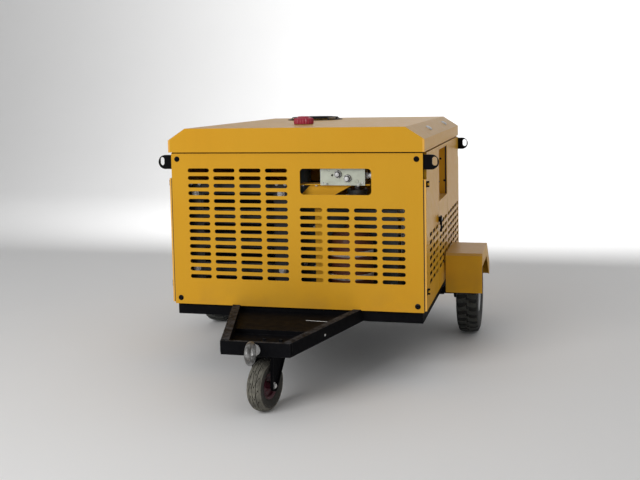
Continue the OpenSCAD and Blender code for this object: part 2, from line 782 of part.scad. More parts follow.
module oil_cooler() at_front() color("#74797d") {
  y = 62;
  difference() {
    block([-500, y, 440], [-110, y + 64, 940]);
    for (z = [450 : 30 : 920]) block([-490, y - 1, z], [-120, y + 12, z + 18]);
  }
  for (x = [-560, -110]) block([x, y - 4, 430], [x + 60, y + 68, 950]);
  for (x = [-545, -95]) block([x, y, inner_z], [x + 30, y + 64, 430]);
}

// shelf for the manifold, with a gusset below it and a leg down to the floor
module manifold_shelf() at_front() color(yellow) {
  block([20, block_y0 + 5, shelf_z - shelf_t], [370, 130, shelf_z]);
  translate([0, 63, 0]) rotate([90, 0, 0]) linear_extrude(3)
    polygon([[4, 870], [74, shelf_z - 3], [284, shelf_z - 3], [160, 870]]);
  block([90, 63, inner_z], [140, 113, shelf_z - shelf_t]);
}

// machined block on the shelf, with a lip that hangs over the shelf's front edge
module manifold_block() at_front() color("#a9b3a6") difference() {
  union() {
    block([block_x0, block_y0, shelf_z], [block_x1, block_y1, 1030]);
    block([block_x0, block_y0, shelf_z - shelf_t], [block_x1, block_y0 + 5, shelf_z]);
  }
  for (p = port_spots) translate([p[0], 0, p[1]]) rod_y(9, block_y0 - 1, block_y0 + 20);
  translate([gauge_spot[0], 0, gauge_spot[1]]) rod_y(6, block_y0 - 1, block_y0 + 16);
}

module port_adapters() at_front() color(steel) {
  for (p = port_spots) translate([p[0], 0, p[1]]) difference() {
    union() {
      translate([0, block_y0, 0]) rotate([90, 0, 0]) cylinder(r = 19, h = 12, $fn = 6);
      rod_y(port_r, block_y0 - 28, block_y0);
      rod_y(9, block_y0 - 1, block_y0 + 18);
    }
    rod_y(6, block_y0 - 30, block_y0 + 20);
  }
  translate([0, 74, 982]) {
    translate([block_x1, 0, 0]) rotate([0, 90, 0]) cylinder(r = 17, h = 12, $fn = 6);
    rod_x(12, block_x1 + 12, block_x1 + 24);
    rod_x(16, block_x1 + 20, block_x1 + 38);
  }
}

// hose that runs back along Y at z, then bends down to end at z_end
module bent_hose(r, x, y0, y1, z, z_end) {
  bend = 100;
  translate([x, 0, z]) rod_y(r, y0, y1 - bend);
  translate([x, y1 - bend, z - bend]) rotate([90, 0, 90]) rotate_extrude(angle = 90)
    translate([bend, 0]) circle(r = r, $fn = 24);
  translate([x, y1, z_end]) cylinder(r = r, h = z - bend - z_end);
}

module hydraulic_hoses() at_front() color("#141416") {
  bent_hose(13, 320, block_y1, motor_y, 1000, motor_z + 92);
  bent_hose(15, 200, block_y1, 560, 990, tank_b[2] + 105);
  translate([320, 0, motor_z]) rod_y(24, tank_b[1], motor_y - pump_port_y);
}

// ---- motor and pump ----------------------------------------------------------------------

module at_motor() at_front() translate([0, motor_y, motor_z]) children();

module electric_motor() at_motor() color("#4a5a66") difference() {
  union() {
    rod_x(motor_r - 18, -500, 20);
    rod_x(motor_r, -515, -490);
    rod_x(motor_r, 0, 20);
    for (k = [0 : 23]) rotate([15 * k, 0, 0]) block([-490, motor_r - 22, -2], [0, motor_r, 2]);
    rod_x(motor_r - 14, -590, -515);
    block([-330, -90, motor_r - 30], [-150, 90, motor_r + 70]);
    for (x = [-420, -110]) block([x, -150, inner_z - motor_z], [x + 60, 150, -120]);
  }
  rod_x(112, -470, -20);
  rod_x(shaft_r + run, -520, 21);
  rod_x(motor_r - 18, -586, -515);
  for (a = [0 : 45 : 315]) rotate([a, 0, 0]) translate([0, 95, 0]) rod_x(26, -592, -580);
}

module motor_rotor() at_motor() color(steel) {
  rod_x(110, -460, -30);
  rod_x(shaft_r, -575, 70);
  rod_x(50, -565, -530);
  for (k = [0 : 5]) rotate([60 * k, 0, 0]) block([-565, 40, -2], [-530, 150, 2]);
}

// jaw coupling: two halves, a spider between them, and the pump's shaft
module shaft_coupling() at_motor() color("#8a2f22") {
  difference() {
    rod_x(52, 30, 84);
    rod_x(shaft_r, 20, 70);
  }
  rod_x(46, 84, 96);
  rod_x(52, 96, 136);
  rod_x(18, 136, 215);
}

module bellhousing() at_motor() color("#5d6468") difference() {
  union() {
    rod_x(150, 20, 34);
    rod_x(110, 30, 160);
    rod_x(125, 148, 160);
  }
  rod_x(90, 19, 148);
  rod_x(30, 140, 161);
  block([60, -60, 60], [120, 60, 160]);
}

module hydraulic_pump() at_motor() color("#6a6f73") difference() {
  union() {
    rod_x(95, 160, 178);
    rod_x(78, 178, 330);
    rod_x(84, 330, 372);
    block([280, -pump_port_y, -40], [360, -60, 40]);
    block([280, -40, 60], [360, 40, 92]);
  }
  rod_x(18 + run, 159, 220);
}

// ---- controls ----------------------------------------------------------------------------

module at_control(y, z) at_front() translate([recess_back, y, z]) children();

// electrical cabinet with the recessed, lined control face on its outer side
module control_box() at_front() color(yellow) difference() {
  union() {
    block([470, recess_y0 + 2, recess_z0 + 2], [recess_back, recess_y1 - 2, recess_z1 - 2]);
    difference() {
      block([recess_back - 4, recess_y0 - 2, recess_z0 - 2],
        [side_x - panel_t, recess_y1 + 2, recess_z1 + 2]);
      block([recess_back, recess_y0, recess_z0], [side_x, recess_y1, recess_z1]);
    }
    for (y = [start_y, stop_y, estop_y]) translate([0, y, button_z]) rod_x(15, recess_back - 1, recess_back + 6);
    translate([0, switch_y, switch_z]) rod_x(26, recess_back - 1, recess_back + 5);
    for (y = [recess_y0 + 2, recess_y1 - 32]) block([480, y, inner_z], [510, y + 30, recess_z0 + 3]);
  }
  block([473, recess_y0 + 5, recess_z0 + 5], [recess_back - 3, recess_y1 - 5, recess_z1 - 5]);
  for (y = [start_y, stop_y, estop_y]) translate([0, y, button_z])
    rod_x(button_r + run, recess_back - 24, recess_back + 7);
  translate([0, switch_y, switch_z]) rod_x(8 + run, recess_back - 24, recess_back + 6);
}

module push_button() {
  rod_x(button_r, -14, 10);
  rod_x(button_r - 1, 9.9, 12);
}
module start_button() at_control(start_y, button_z) color("#1f8a3b") push_button();
module stop_button() at_control(stop_y, button_z) color("#b01c1c") push_button();

module emergency_stop() at_control(estop_y, button_z) color("#c01818") {
  rod_x(button_r, -12, 16);
  translate([16, 0, 0]) rotate([0, 90, 0]) cylinder(r1 = 17, r2 = 20, h = 6);
  translate([22, 0, 0]) rotate([0, 90, 0]) cylinder(r1 = 20, r2 = 13, h = 8);
}

module main_switch() at_control(switch_y, switch_z) color("#202022") {
  rod_x(8, -14, 6);
  rod_x(20, 5.5, 12);
  block([11.9, -6, -30], [26, 6, 30]);
}

// ------------------------------------------------------------------------------------------

base_frame();
floor_pan();
drawbar_frame();
caster_bracket();
tow_eye();
caster_top_plate();
caster_plate_bolts();
caster_fork();
caster_axle();
caster_rim();
caster_tyre();
axle_beam();
wheel_hub_left();
wheel_hub_right();
wheel_rim_left();
wheel_rim_right();
wheel_tyre_left();
wheel_tyre_right();
wheel_nuts_left();
wheel_nuts_right();
fender_left();
fender_right();
fender_brackets();
canopy_frame();
lifting_lugs();
front_panel();
rear_panel();
side_panels_left();
side_panels_right();
corner_trims();
door_left();
door_right();
door_hinges();
door_latch_left();
door_latch_right();
roof_cover();
panel_bolts();
roof_bolts();
roof_fan_guard();
roof_fan_motor();
roof_fan();
filler_cap();
oil_tank();
return_filter();
accumulator();
oil_cooler();
manifold_shelf();
manifold_block();
port_adapters();
hydraulic_hoses();
electric_motor();
motor_rotor();
shaft_coupling();
bellhousing();
hydraulic_pump();
control_box();
emergency_stop();
start_button();
stop_button();
main_switch();
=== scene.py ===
"""Looks of the trailer-mounted hydraulic power unit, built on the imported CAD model.

Lengths are in metres. Places come from the CAD nodes' boxes and from the joints.
"""
import json
import math

import bmesh
import bpy
from mathutils import Matrix, Vector


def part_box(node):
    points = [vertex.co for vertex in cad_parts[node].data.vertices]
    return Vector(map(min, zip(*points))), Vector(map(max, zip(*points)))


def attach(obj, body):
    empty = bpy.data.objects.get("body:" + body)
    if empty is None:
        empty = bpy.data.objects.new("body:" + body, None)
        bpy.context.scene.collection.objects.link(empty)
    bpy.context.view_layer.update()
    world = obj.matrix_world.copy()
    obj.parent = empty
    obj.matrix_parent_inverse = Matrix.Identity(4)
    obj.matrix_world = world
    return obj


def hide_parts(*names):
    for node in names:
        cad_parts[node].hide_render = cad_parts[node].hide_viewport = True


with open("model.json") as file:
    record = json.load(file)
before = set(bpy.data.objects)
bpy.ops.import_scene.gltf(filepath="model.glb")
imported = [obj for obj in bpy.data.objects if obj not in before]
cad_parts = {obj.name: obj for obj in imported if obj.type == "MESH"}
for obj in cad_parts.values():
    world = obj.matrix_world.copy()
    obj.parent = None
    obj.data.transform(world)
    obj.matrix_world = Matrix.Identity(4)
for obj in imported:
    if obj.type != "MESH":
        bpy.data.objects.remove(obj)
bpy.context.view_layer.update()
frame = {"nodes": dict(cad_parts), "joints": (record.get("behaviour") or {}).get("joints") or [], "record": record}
nodes = frame["nodes"]
joints = {j["name"]: j for j in frame["joints"]}
record = frame["record"]
node_slot = {s["node"]: s["material_slot"] for s in record["subparts"]}

MM = 0.001
X, Y, Z = Vector((1, 0, 0)), Vector((0, 1, 0)), Vector((0, 0, 1))


# ---- shading -------------------------------------------------------------------------------

class Shade:
    """One procedural material, with short names for the nodes that these surfaces use."""

    def __init__(self, name):
        self.material = bpy.data.materials.new(name)
        self.material.use_nodes = True
        self.tree = self.material.node_tree
        self.surface = self.tree.nodes["Principled BSDF"]
        self.place = self.add("ShaderNodeTexCoord").outputs["Object"]
        self.normal = None

    def add(self, kind, **settings):
        node = self.tree.nodes.new(kind)
        for key, value in settings.items():
            setattr(node, key, value)
        return node

    def feed(self, socket, value):
        if isinstance(value, bpy.types.NodeSocket):
            self.tree.links.new(value, socket)
        elif isinstance(value, tuple) and len(value) == 3 and socket.type == "RGBA":
            socket.default_value = (*value, 1.0)
        else:
            socket.default_value = value

    def stretched(self, scale):
        node = self.add("ShaderNodeMapping")
        self.feed(node.inputs["Vector"], self.place)
        node.inputs["Scale"].default_value = scale
        return node.outputs["Vector"]

    def noise(self, scale, detail=4.0, rough=0.55, stretch=None):
        node = self.add("ShaderNodeTexNoise")
        node.inputs["Scale"].default_value = scale
        node.inputs["Detail"].default_value = detail
        node.inputs["Roughness"].default_value = rough
        self.feed(node.inputs["Vector"], self.stretched(stretch) if stretch else self.place)
        return node.outputs["Fac"]

    def crystals(self, scale):
        """A random shade for each cell of an irregular pattern."""
        node = self.add("ShaderNodeTexVoronoi", feature="F1")
        node.inputs["Scale"].default_value = scale
        self.feed(node.inputs["Vector"], self.place)
        return node.outputs["Color"]

    def level(self, value, low, high, to_low=0.0, to_high=1.0):
        node = self.add("ShaderNodeMapRange")
        self.feed(node.inputs["Value"], value)
        limits = {"From Min": low, "From Max": high, "To Min": to_low, "To Max": to_high}
        for name, number in limits.items():
            node.inputs[name].default_value = number
        return node.outputs["Result"]

    def maths(self, operation, a, b=0.0, clamp=True):
        """Arithmetic. Its result is held between 0 and 1, except that of a product."""
        clamp = clamp and operation != "MULTIPLY"
        node = self.add("ShaderNodeMath", operation=operation, use_clamp=clamp)
        self.feed(node.inputs[0], a)
        self.feed(node.inputs[1], b)
        return node.outputs[0]

    def mix(self, share, a, b):
        node = self.add("ShaderNodeMix", data_type="RGBA")
        self.feed(node.inputs["Factor"], share)
        self.feed(node.inputs["A"], a)
        self.feed(node.inputs["B"], b)
        return node.outputs["Result"]

    def times(self, a, b):
        return self.maths("MULTIPLY", a, b)

    def vectors(self, operation, a, b=None):
        """Vector arithmetic. A length or a dot product comes out as a number."""
        node = self.add("ShaderNodeVectorMath", operation=operation)
        self.feed(node.inputs[0], a)
        if b is not None:
            self.feed(node.inputs[1], b)
        return node.outputs["Value" if operation in ("LENGTH", "DOT_PRODUCT") else "Vector"]

    def part(self, vector, axis):
        node = self.add("ShaderNodeSeparateXYZ")
        self.feed(node.inputs[0], vector)
        return node.outputs[axis]

    def facing(self, axis, low, high):
        """0 to 1 as the surface's normal turns along an axis, from low to high."""
        normal = self.add("ShaderNodeNewGeometry").outputs["Normal"]
        return self.level(self.part(normal, axis), low, high)

    def along(self, axis, low, high, outward=False):
        """0 to 1 as a place moves along an axis; outward measures from the middle both ways."""
        value = self.part(self.place, axis)
        return self.level(self.maths("ABSOLUTE", value) if outward else value, low, high)

    def wheel_share(self, wheel):
        """Distance from a wheel's axis as a share of its radius, with its crown flattened."""
        centre, axis, half, radius, drop, mirrored = wheel
        place = self.vectors("ABSOLUTE", self.place) if mirrored else self.place
        offset = self.vectors("SUBTRACT", place, centre)
        across = self.maths("ABSOLUTE", self.vectors("DOT_PRODUCT", offset, axis))
        square = self.maths("SUBTRACT", self.maths("POWER", self.vectors("LENGTH", offset), 2.0),
                            self.maths("POWER", across, 2.0))
        share = self.times(self.maths("SQRT", square), 1.0 / radius)
        curve = self.times(self.maths("POWER", self.times(across, 1.0 / half), 3.0), drop)
        return self.maths("ADD", share, curve, clamp=False)

    def edges(self, radius, low=0.02, high=0.25):
        """1 along sharp edges, 0 on open faces."""
        flat = self.add("ShaderNodeNewGeometry").outputs["True Normal"]
        bevel = self.add("ShaderNodeBevel", samples=4)
        bevel.inputs["Radius"].default_value = radius
        likeness = self.vectors("DOT_PRODUCT", flat, bevel.outputs["Normal"])
        return self.level(self.maths("SUBTRACT", 1.0, likeness), low, high)

    def bump(self, height, strength, distance=0.001):
        node = self.add("ShaderNodeBump")
        node.inputs["Strength"].default_value = strength
        node.inputs["Distance"].default_value = distance
        self.feed(node.inputs["Height"], height)
        if self.normal:
            self.feed(node.inputs["Normal"], self.normal)
        self.normal = node.outputs["Normal"]

    def finish(self, color, roughness, metallic=0.0, coat=0.0, coat_roughness=0.1, specular=0.5):
        sockets = self.surface.inputs
        self.feed(sockets["Base Color"], color)
        self.feed(sockets["Roughness"], roughness)
        sockets["Metallic"].default_value = metallic
        sockets["Coat Weight"].default_value = coat
        sockets["Coat Roughness"].default_value = coat_roughness
        sockets["Specular IOR Level"].default_value = specular
        if self.normal:
            self.feed(sockets["Normal"], self.normal)
        return self.material


DUST = (0.34, 0.29, 0.245)
YELLOW = (0.66, 0.345, 0.027)
STRIP_HIGHLIGHT = (0.80, 0.43, 0.085)  # the corner strips, where the light catches the fold
RUST_GRIME = (0.30, 0.17, 0.05)
ROAD_DIRT = (0.055, 0.052, 0.048)
PANEL_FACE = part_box("front_panel")[0].y
STRIP_FROM = 0.6305  # the corner strips start this far from the middle
# above DECK_TOP the black steel's up-facing faces turn light grey: dust, and partly a painted highlight on the
# tops; the deck below, in shade, keeps only a trace
DECK_TOP = 0.332     # dust has settled on the black steel above this height


def tinted(color, share, lift=0.0):
    """A colour made darker or lighter by a share, then lifted."""
    return tuple(min(1.0, share * c + lift) for c in color)


def powder_coat(name, base):
    """Glossy sheet-metal paint: faint mottling, dust on what faces up, a painted highlight on the corner strips,
    chipped edges.
    """
    s = Shade(name)
    warmer = (base[0] * 0.99, base[1] * 0.94, base[2] * 0.85)
    color = s.mix(s.level(s.noise(1.6, 3), 0.35, 0.7), base, warmer)
    streaks = s.noise(14.0, 5, 0.6, stretch=(1.0, 1.0, 0.12))
    color = s.mix(s.level(streaks, 0.5, 0.85, 0.0, 0.22), color, tinted(base, 0.84))
    grime = s.times(s.level(s.noise(9.0, 6), 0.4, 0.75), s.along("Z", 0.46, 0.33))
    color = s.mix(s.times(grime, 0.3), color, RUST_GRIME)
    film = s.level(s.noise(26.0, 8, 0.7), 0.3, 0.75, 0.6, 1.0)
    dusty = s.times(s.facing("Z", 0.35, 0.8), s.times(film, 0.40))
    color = s.mix(dusty, color, DUST)
    # painted highlight: the corner strips' front faces turn a lighter yellow, where the light catches the fold
    corner = s.times(s.facing("Y", -0.7, -0.9),
                     s.along("X", STRIP_FROM, STRIP_FROM + 0.0007, outward=True))
    corner = s.times(corner, s.along("Y", PANEL_FACE + 0.009, PANEL_FACE + 0.007))
    color = s.mix(corner, color, STRIP_HIGHLIGHT)
    chips = s.times(s.edges(0.0016), s.level(s.noise(55.0, 6, 0.7), 0.56, 0.62))
    color = s.mix(chips, color, (0.05, 0.045, 0.04))
    rough = s.level(s.noise(30.0, 4), 0.3, 0.7, 0.30, 0.38)
    rough = s.maths("MAXIMUM", rough, s.times(dusty, 0.7))
    s.bump(s.noise(420.0, 2), 0.04)
    s.bump(s.noise(4.0, 2), 0.06, 0.004)
    return s.finish(color, rough, coat=0.015, coat_roughness=0.16, specular=0.025)


def enamel(name, base, dust=0.5, rough=(0.32, 0.5), chip=0.57, coat=0.1, grain=260.0, wear=None,
           specular=0.35, dusty_from=None, dust_and_sheen=DUST, edge_wear_and_highlight=0.012):
    """Painted steel and castings: dust from above, edges lighter from rub wear (on the black steel and the red rim
    also a painted edge highlight), fine orange peel.

    dusty_from is the height above which up-facing faces take the full dust colour, which on the black steel is
    partly a painted top-face highlight; below it only a trace lies."""
    s = Shade(name)
    lighter = tinted(base, 1.5, edge_wear_and_highlight)
    color = s.mix(s.level(s.noise(6.0, 6), 0.35, 0.7), base, tinted(base, 0.78))
    film = s.level(s.noise(34.0, 8, 0.72), 0.38, 0.75)
    # up-facing faces turn lighter: dust, and on the black steel partly a painted top-face highlight
    dusty = s.times(s.facing("Z", 0.2, 0.95), s.times(film, dust))
    if dusty_from:
        dusty = s.times(dusty, s.maths("MAXIMUM", s.along("Z", dusty_from, dusty_from + 0.004),
                                       0.02))
    color = s.mix(s.times(film, 0.008), color, dust_and_sheen)
    color = s.mix(dusty, color, dust_and_sheen)
    # edges lifted lighter: rub wear, and on the black steel and the red rim partly a painted edge highlight
    rub = s.edges(0.0026)
    color = s.mix(s.times(rub, s.level(s.noise(20.0, 4), 0.3, 0.7, 0.15, 0.7)), color, lighter)
    bare = s.times(rub, s.level(s.noise(70.0, 6, 0.7), chip, chip + 0.05))
    color = s.mix(bare, color, wear or (0.22, 0.17, 0.14))
    roughness = s.maths("MAXIMUM", s.level(s.noise(22.0, 5), 0.3, 0.7, *rough), s.times(dusty, 0.8))
    s.bump(s.noise(grain, 3), 0.08)
    return s.finish(color, roughness, coat=coat, coat_roughness=0.2, specular=specular)


def plated(name, base=(0.62, 0.63, 0.62), stain=(0.34, 0.33, 0.28), rough=(0.22, 0.48), grain=90.0,
           metallic=0.85,
           weathered=None):
    """Zinc-plated steel: crystalline patches, dull stains in places, fine scratches."""
    s = Shade(name)
    patch = s.level(s.crystals(grain), 0.0, 1.0, 0.0, 0.5)
    color = s.mix(patch, base, tinted(base, 0.74))
    dull = s.level(s.noise(28.0, 7, 0.7), 0.48, 0.7)
    color = s.mix(s.times(dull, 0.6), color, stain)
    color = s.mix(s.times(s.edges(0.0012), 0.4), color, (0.82, 0.82, 0.80))
    if weathered:
        grimy = s.times(s.along("Y", weathered + 0.002, weathered - 0.002),
                        s.level(s.noise(38.0, 7, 0.7), 0.36, 0.6, 0.55, 0.97))
        color = s.mix(grimy, color, ROAD_DIRT)
    s.bump(s.noise(300.0, 3, stretch=(1.0, 6.0, 1.0)), 0.10)
    s.bump(s.noise(45.0, 4), 0.25, 0.0006)
    return s.finish(color, s.level(s.noise(24.0, 5), 0.3, 0.7, *rough), metallic=metallic)


def cast(name, base, grain=160.0, metallic=0.55):
    """Sand-cast or die-cast metal with a grainy skin."""
    s = Shade(name)
    color = s.mix(s.level(s.noise(12.0, 6), 0.35, 0.7), base, tinted(base, 0.7))
    color = s.mix(s.times(s.facing("Z", 0.3, 1.0), s.level(s.noise(30.0, 6), 0.4, 0.7, 0.1, 0.5)),
                  color, DUST)
    s.bump(s.noise(grain, 6, 0.7), 0.35, 0.0008)
    return s.finish(color, s.level(s.noise(40.0, 4), 0.3, 0.7, 0.42, 0.62), metallic=metallic)


def rubber(name, base, dust_color, dust=0.5, wheel=None, groove_shade_span=None):
    """Rubber that has rolled on dry ground: dust lies unevenly, edges are scuffed. On a wheel the dust thins
    towards the groove floors, which stay dark as painted shade.
    """
    s = Shade(name)
    color = s.mix(s.level(s.noise(9.0, 6), 0.3, 0.7), base, tinted(base, 0.7))
    film = s.level(s.noise(24.0, 8, 0.75), 0.30, 0.62)
    # painted shade: on a wheel the dust fades out towards the groove floors, so the grooves stay dark
    if wheel:
        film = s.times(film, s.level(s.wheel_share(wheel), groove_shade_span[0], groove_shade_span[1], 0.10, 1.0))
    color = s.mix(s.times(film, dust), color, dust_color)
    scuffed = s.times(s.edges(0.003), s.level(s.noise(60.0, 5), 0.3, 0.6, 0.2, 0.8))
    color = s.mix(scuffed, color, tinted(dust_color, 1.15))
    s.bump(s.noise(190.0, 5, 0.7), 0.25, 0.0008)
    s.bump(s.noise(30.0, 4), 0.15, 0.002)
    return s.finish(color, s.level(film, 0.0, 1.0, 0.62, 0.88), specular=0.3)


def plastic(name, base, rough=(0.25, 0.4), dust=0.3, grain=500.0):
    """Moulded plastic with a fine satin grain."""
    s = Shade(name)
    color = s.mix(s.level(s.noise(8.0, 4), 0.3, 0.7), base, tinted(base, 0.8))
    film = s.level(s.noise(30.0, 7, 0.7), 0.4, 0.7)
    dusty = s.times(s.facing("Z", 0.4, 0.95), s.times(film, dust))
    color = s.mix(dusty, color, DUST)
    color = s.mix(s.times(s.edges(0.0012), 0.25), color, tinted(base, 1.4, 0.03))
    s.bump(s.noise(grain, 2), 0.12)
    return s.finish(color, s.maths("MAXIMUM", s.level(s.noise(26.0), 0.3, 0.7, *rough),
                                   s.times(dusty, 0.8)))


def wheel_shape(joint, node, drop, mirrored):
    """A wheel's frame, how far its crown drops at the edges, and if both sides share it."""
    return (*wheel_frame(joint, node), drop, mirrored)


def wheel_frame(joint, node):
    """Centre and axis of a wheel, its half width along the axis, and its radius."""
    centre, axis = Vector(joints[joint]["pos_m"]), Vector(joints[joint]["axis"]).normalized()
    along = [(v.co - centre).dot(axis) for v in nodes[node].data.vertices]
    middle_at = (max(along) + min(along)) / 2
    away = [v.co - centre for v in nodes[node].data.vertices]
    radius = max((offset - axis * offset.dot(axis)).length for offset in away)
    return centre + axis * middle_at, axis, (max(along) - min(along)) / 2, radius


materials = {
    "yellow_paint": powder_coat("yellow_powder_coat", YELLOW),
    # black steel: its light grey tops are dust and a painted top-face highlight, and its lifted edges are rub wear
    # and a painted edge highlight
    "black_paint": enamel("black_enamel", (0.0058, 0.0058, 0.0068), dust=0.30,
                          wear=(0.10, 0.085, 0.075), coat=0.0,
                          rough=(0.42, 0.58), specular=0.012, dusty_from=DECK_TOP,
                          dust_and_sheen=(0.30, 0.30, 0.32),
                          edge_wear_and_highlight=0.045),
    "zinc": plated("zinc_plate", (0.72, 0.72, 0.72), (0.30, 0.29, 0.26), metallic=0.25,
                   weathered=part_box("drawbar_frame")[0].y - 0.024),
    # the rim's edges and lip lifted lighter: wear and a painted highlight
    "rim_red": enamel("dark_red_enamel", (0.072, 0.012, 0.022), dust=0.2, edge_wear_and_highlight=0.05),
    "rim_silver": enamel("silver_enamel", (0.52, 0.53, 0.54), dust=0.5, rough=(0.28, 0.4)),
    "tyre_black": rubber("tyre_rubber", (0.013, 0.013, 0.0125), (0.105, 0.108, 0.098), dust=0.6,
                         wheel=wheel_shape("wheel_right_spin", "wheel_tyre_right", 0.055, True),
                         groove_shade_span=(0.976, 0.992)),
    # the caster's light block tops are dust and partly a painted highlight; its dark groove floors are painted
    # shade
    "caster_rubber": rubber("caster_rubber", (0.020, 0.018, 0.015), (0.215, 0.205, 0.17), dust=0.85,
                            wheel=wheel_shape("caster_wheel_spin", "caster_tyre", 0.137, False),
                            groove_shade_span=(0.955, 0.985)),
    "grey_machine": enamel("machine_grey", (0.075, 0.095, 0.105), dust=0.5),
    "dark_core": cast("dull_fin_aluminium", (0.018, 0.019, 0.020), metallic=0.1),
    "block_steel": plated("zinc_block", (0.47, 0.49, 0.41), (0.34, 0.35, 0.28), rough=(0.34, 0.5),
                          grain=24.0),
    "filter_alu": cast("cast_aluminium", (0.42, 0.43, 0.44)),
    "hose_rubber": rubber("hose_cover", (0.018, 0.018, 0.018), (0.07, 0.065, 0.055), dust=0.25),
    "cap_red": plastic("red_plastic", (0.40, 0.012, 0.045)),
    "coupling_red": enamel("red_casting", (0.20, 0.035, 0.02)),
    "brown_paint": enamel("red_brown_primer", (0.15, 0.042, 0.018), dust=0.4, rough=(0.4, 0.6)),
    "rotor_steel": plated("machined_steel", (0.50, 0.50, 0.50)),
    "fan_black": plastic("fan_plastic", (0.020, 0.020, 0.022)),
    "button_red": plastic("red_button", (0.46, 0.012, 0.012), dust=0.1),
    "button_green": plastic("green_button", (0.015, 0.19, 0.04), dust=0.1),
    "switch_black": plastic("black_button", (0.014, 0.014, 0.014), dust=0.15),
}


# ---- mesh tools ----------------------------------------------------------------------------

def in_scene(name, data):
    thing = bpy.data.objects.new(name, data)
    bpy.context.scene.collection.objects.link(thing)
    return thing


def piece(name, mesh, slot, body="chassis", smooth=40.0, bevel=0.0, replaces=()):
    """A new piece from a bmesh: it gets its material, rides on a body and may replace CAD nodes."""
    bmesh.ops.remove_doubles(mesh, verts=mesh.verts, dist=1e-6)
    bmesh.ops.recalc_face_normals(mesh, faces=mesh.faces)
    data = bpy.data.meshes.new(name)
    mesh.to_mesh(data)
    mesh.free()
    made = in_scene(name, data)
    data.materials.append(materials[slot])
    data.shade_smooth()
    if bevel:
        add_bevel(made, bevel)
    data.set_sharp_from_angle(angle=math.radians(smooth))
    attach(made, body)
    if replaces:
        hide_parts(*replaces)
    return made


def add_bevel(thing, width, segments=2, angle=32.0):
    bevel = thing.modifiers.new("edge", "BEVEL")
    bevel.width = width
    bevel.segments = segments
    bevel.limit_method = "ANGLE"
    bevel.angle_limit = math.radians(angle)
    bevel.harden_normals = True


def axes(direction, up=Z):
    """Rotation whose local Z lies along direction and whose local Y leans towards up."""
    z = Vector(direction).normalized()
    side = Vector(up).cross(z)
    x = (side if side.length > 1e-4 else X.cross(z)).normalized()
    return Matrix((x, z.cross(x), z)).transposed()


def turns(count, first=0.0):
    """Angles spread evenly over one turn."""
    return [first + 2 * math.pi * k / count for k in range(count)]


def polar(radius, angle, along=0.0):
    return Vector((radius * math.cos(angle), radius * math.sin(angle), along))


def bridge(mesh, rows, round_rows=False, round_points=False):
    """Faces between rows of vertices; either direction may close on itself."""
    count, per = len(rows), len(rows[0])
    for k in range(count if round_rows else count - 1):
        here, there = rows[k], rows[(k + 1) % count]
        for i in range(per if round_points else per - 1):
            j = (i + 1) % per
            mesh.faces.new((here[i], there[i], there[j], here[j]))


def lathe(mesh, profile, centre, direction, steps=64, closed=True):
    """Turns [(radius, along), ...] about a line through centre. A closed profile makes a ring."""
    turn = axes(direction)
    rings = []
    for a in turns(steps):
        rings.append([mesh.verts.new(Vector(centre) + turn @ (polar(1, a) * r + Z * h))
                      for r, h in profile])
    bridge(mesh, rings, round_rows=True, round_points=closed)
    return rings


def solid_lathe(mesh, profile, centre, direction, steps=48):
    """A turned solid whose profile starts and ends on the axis, given without those two points."""
    rings = lathe(mesh, profile, centre, direction, steps, closed=False)
    for end, order in ((0, 1), (-1, -1)):
        mesh.faces.new([ring[end] for ring in rings][::order])


def prism(mesh, outline, low, high, to_world):
    """Extrudes a closed outline of (a, b) points from low to high; to_world places (a, b, c)."""
    bottom = [mesh.verts.new(to_world(a, b, low)) for a, b in outline]
    top = [mesh.verts.new(to_world(a, b, high)) for a, b in outline]
    mesh.faces.new(bottom[::-1])
    mesh.faces.new(top)
    for i in range(len(outline)):
        j = (i + 1) % len(outline)
        mesh.faces.new((bottom[i], bottom[j], top[j], top[i]))
    return top


def hexagon(across):
    """Outline of a hexagon, from its size across the flats."""
    r = across / math.sqrt(3)
    return [tuple(polar(r, math.radians(60 * k)))[:2] for k in range(6)]


def placed(centre, direction, up=Z):
    turn = axes(direction, up)
    return lambda a, b, c: Vector(centre) + turn @ Vector((a, b, c))


def hex_nut(mesh, centre, direction, across, height, dome=0.0, up=Z):
    """Hexagon with chamfered corners; dome closes it with a raised end."""
    put = placed(centre, direction, up)
    prism(mesh, hexagon(across), 0, height * 0.9, put)
    top = [(across * 0.3, height * 0.5), (across * 0.5, height * 0.88), (across * 0.485, height),
           (across * 0.46, height * 1.02)]
    if dome:
        top += [(across * 0.38, height + dome * 0.6), (across * 0.18, height + dome)]
    solid_lathe(mesh, top, centre, direction, 32)


def tube(mesh, points, radius, sides=10, closed=False, ripple=None):
    """Round bar along points; ripple(i) scales its radius at a point."""
    points = [Vector(p) for p in points]
    rings = []
    count = len(points)
    for i, p in enumerate(points):
        before = points[i - 1] if i or closed else p
        after = points[(i + 1) % count] if i + 1 < count or closed else p
        turn = axes(after - before, Z if abs((after - before).normalized().z) < 0.95 else Y)
        r = radius * (ripple(i) if ripple else 1.0)
        rings.append([mesh.verts.new(p + turn @ polar(r, a)) for a in turns(sides)])
    bridge(mesh, rings, round_rows=closed, round_points=True)
    if not closed:
        mesh.faces.new(rings[0][::-1])
        mesh.faces.new(rings[-1])


def circle_points(centre, direction, radius, steps=72):
    put = placed(centre, direction)
    return [put(*polar(radius, a)) for a in turns(steps)]


def weld(mesh, start, end, radius=0.0035):
    """A rippled weld bead between two points."""
    start, end = Vector(start), Vector(end)
    count = max(6, int((end - start).length / 0.0022))
    points = [start.lerp(end, i / count) for i in range(count + 1)]
    tube(mesh, points, radius, 8,
         ripple=lambda i: 0.86 + 0.16 * math.sin(i * 1.9) if 0 < i < count else 0.5)


def middle(node):
    """Centre of a CAD node's box."""
    low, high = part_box(node)
    return (low + high) / 2


def underside(low, high):
    """Middle of the underside of a box."""
    return Vector(((low.x + high.x) / 2, (low.y + high.y) / 2, low.z))


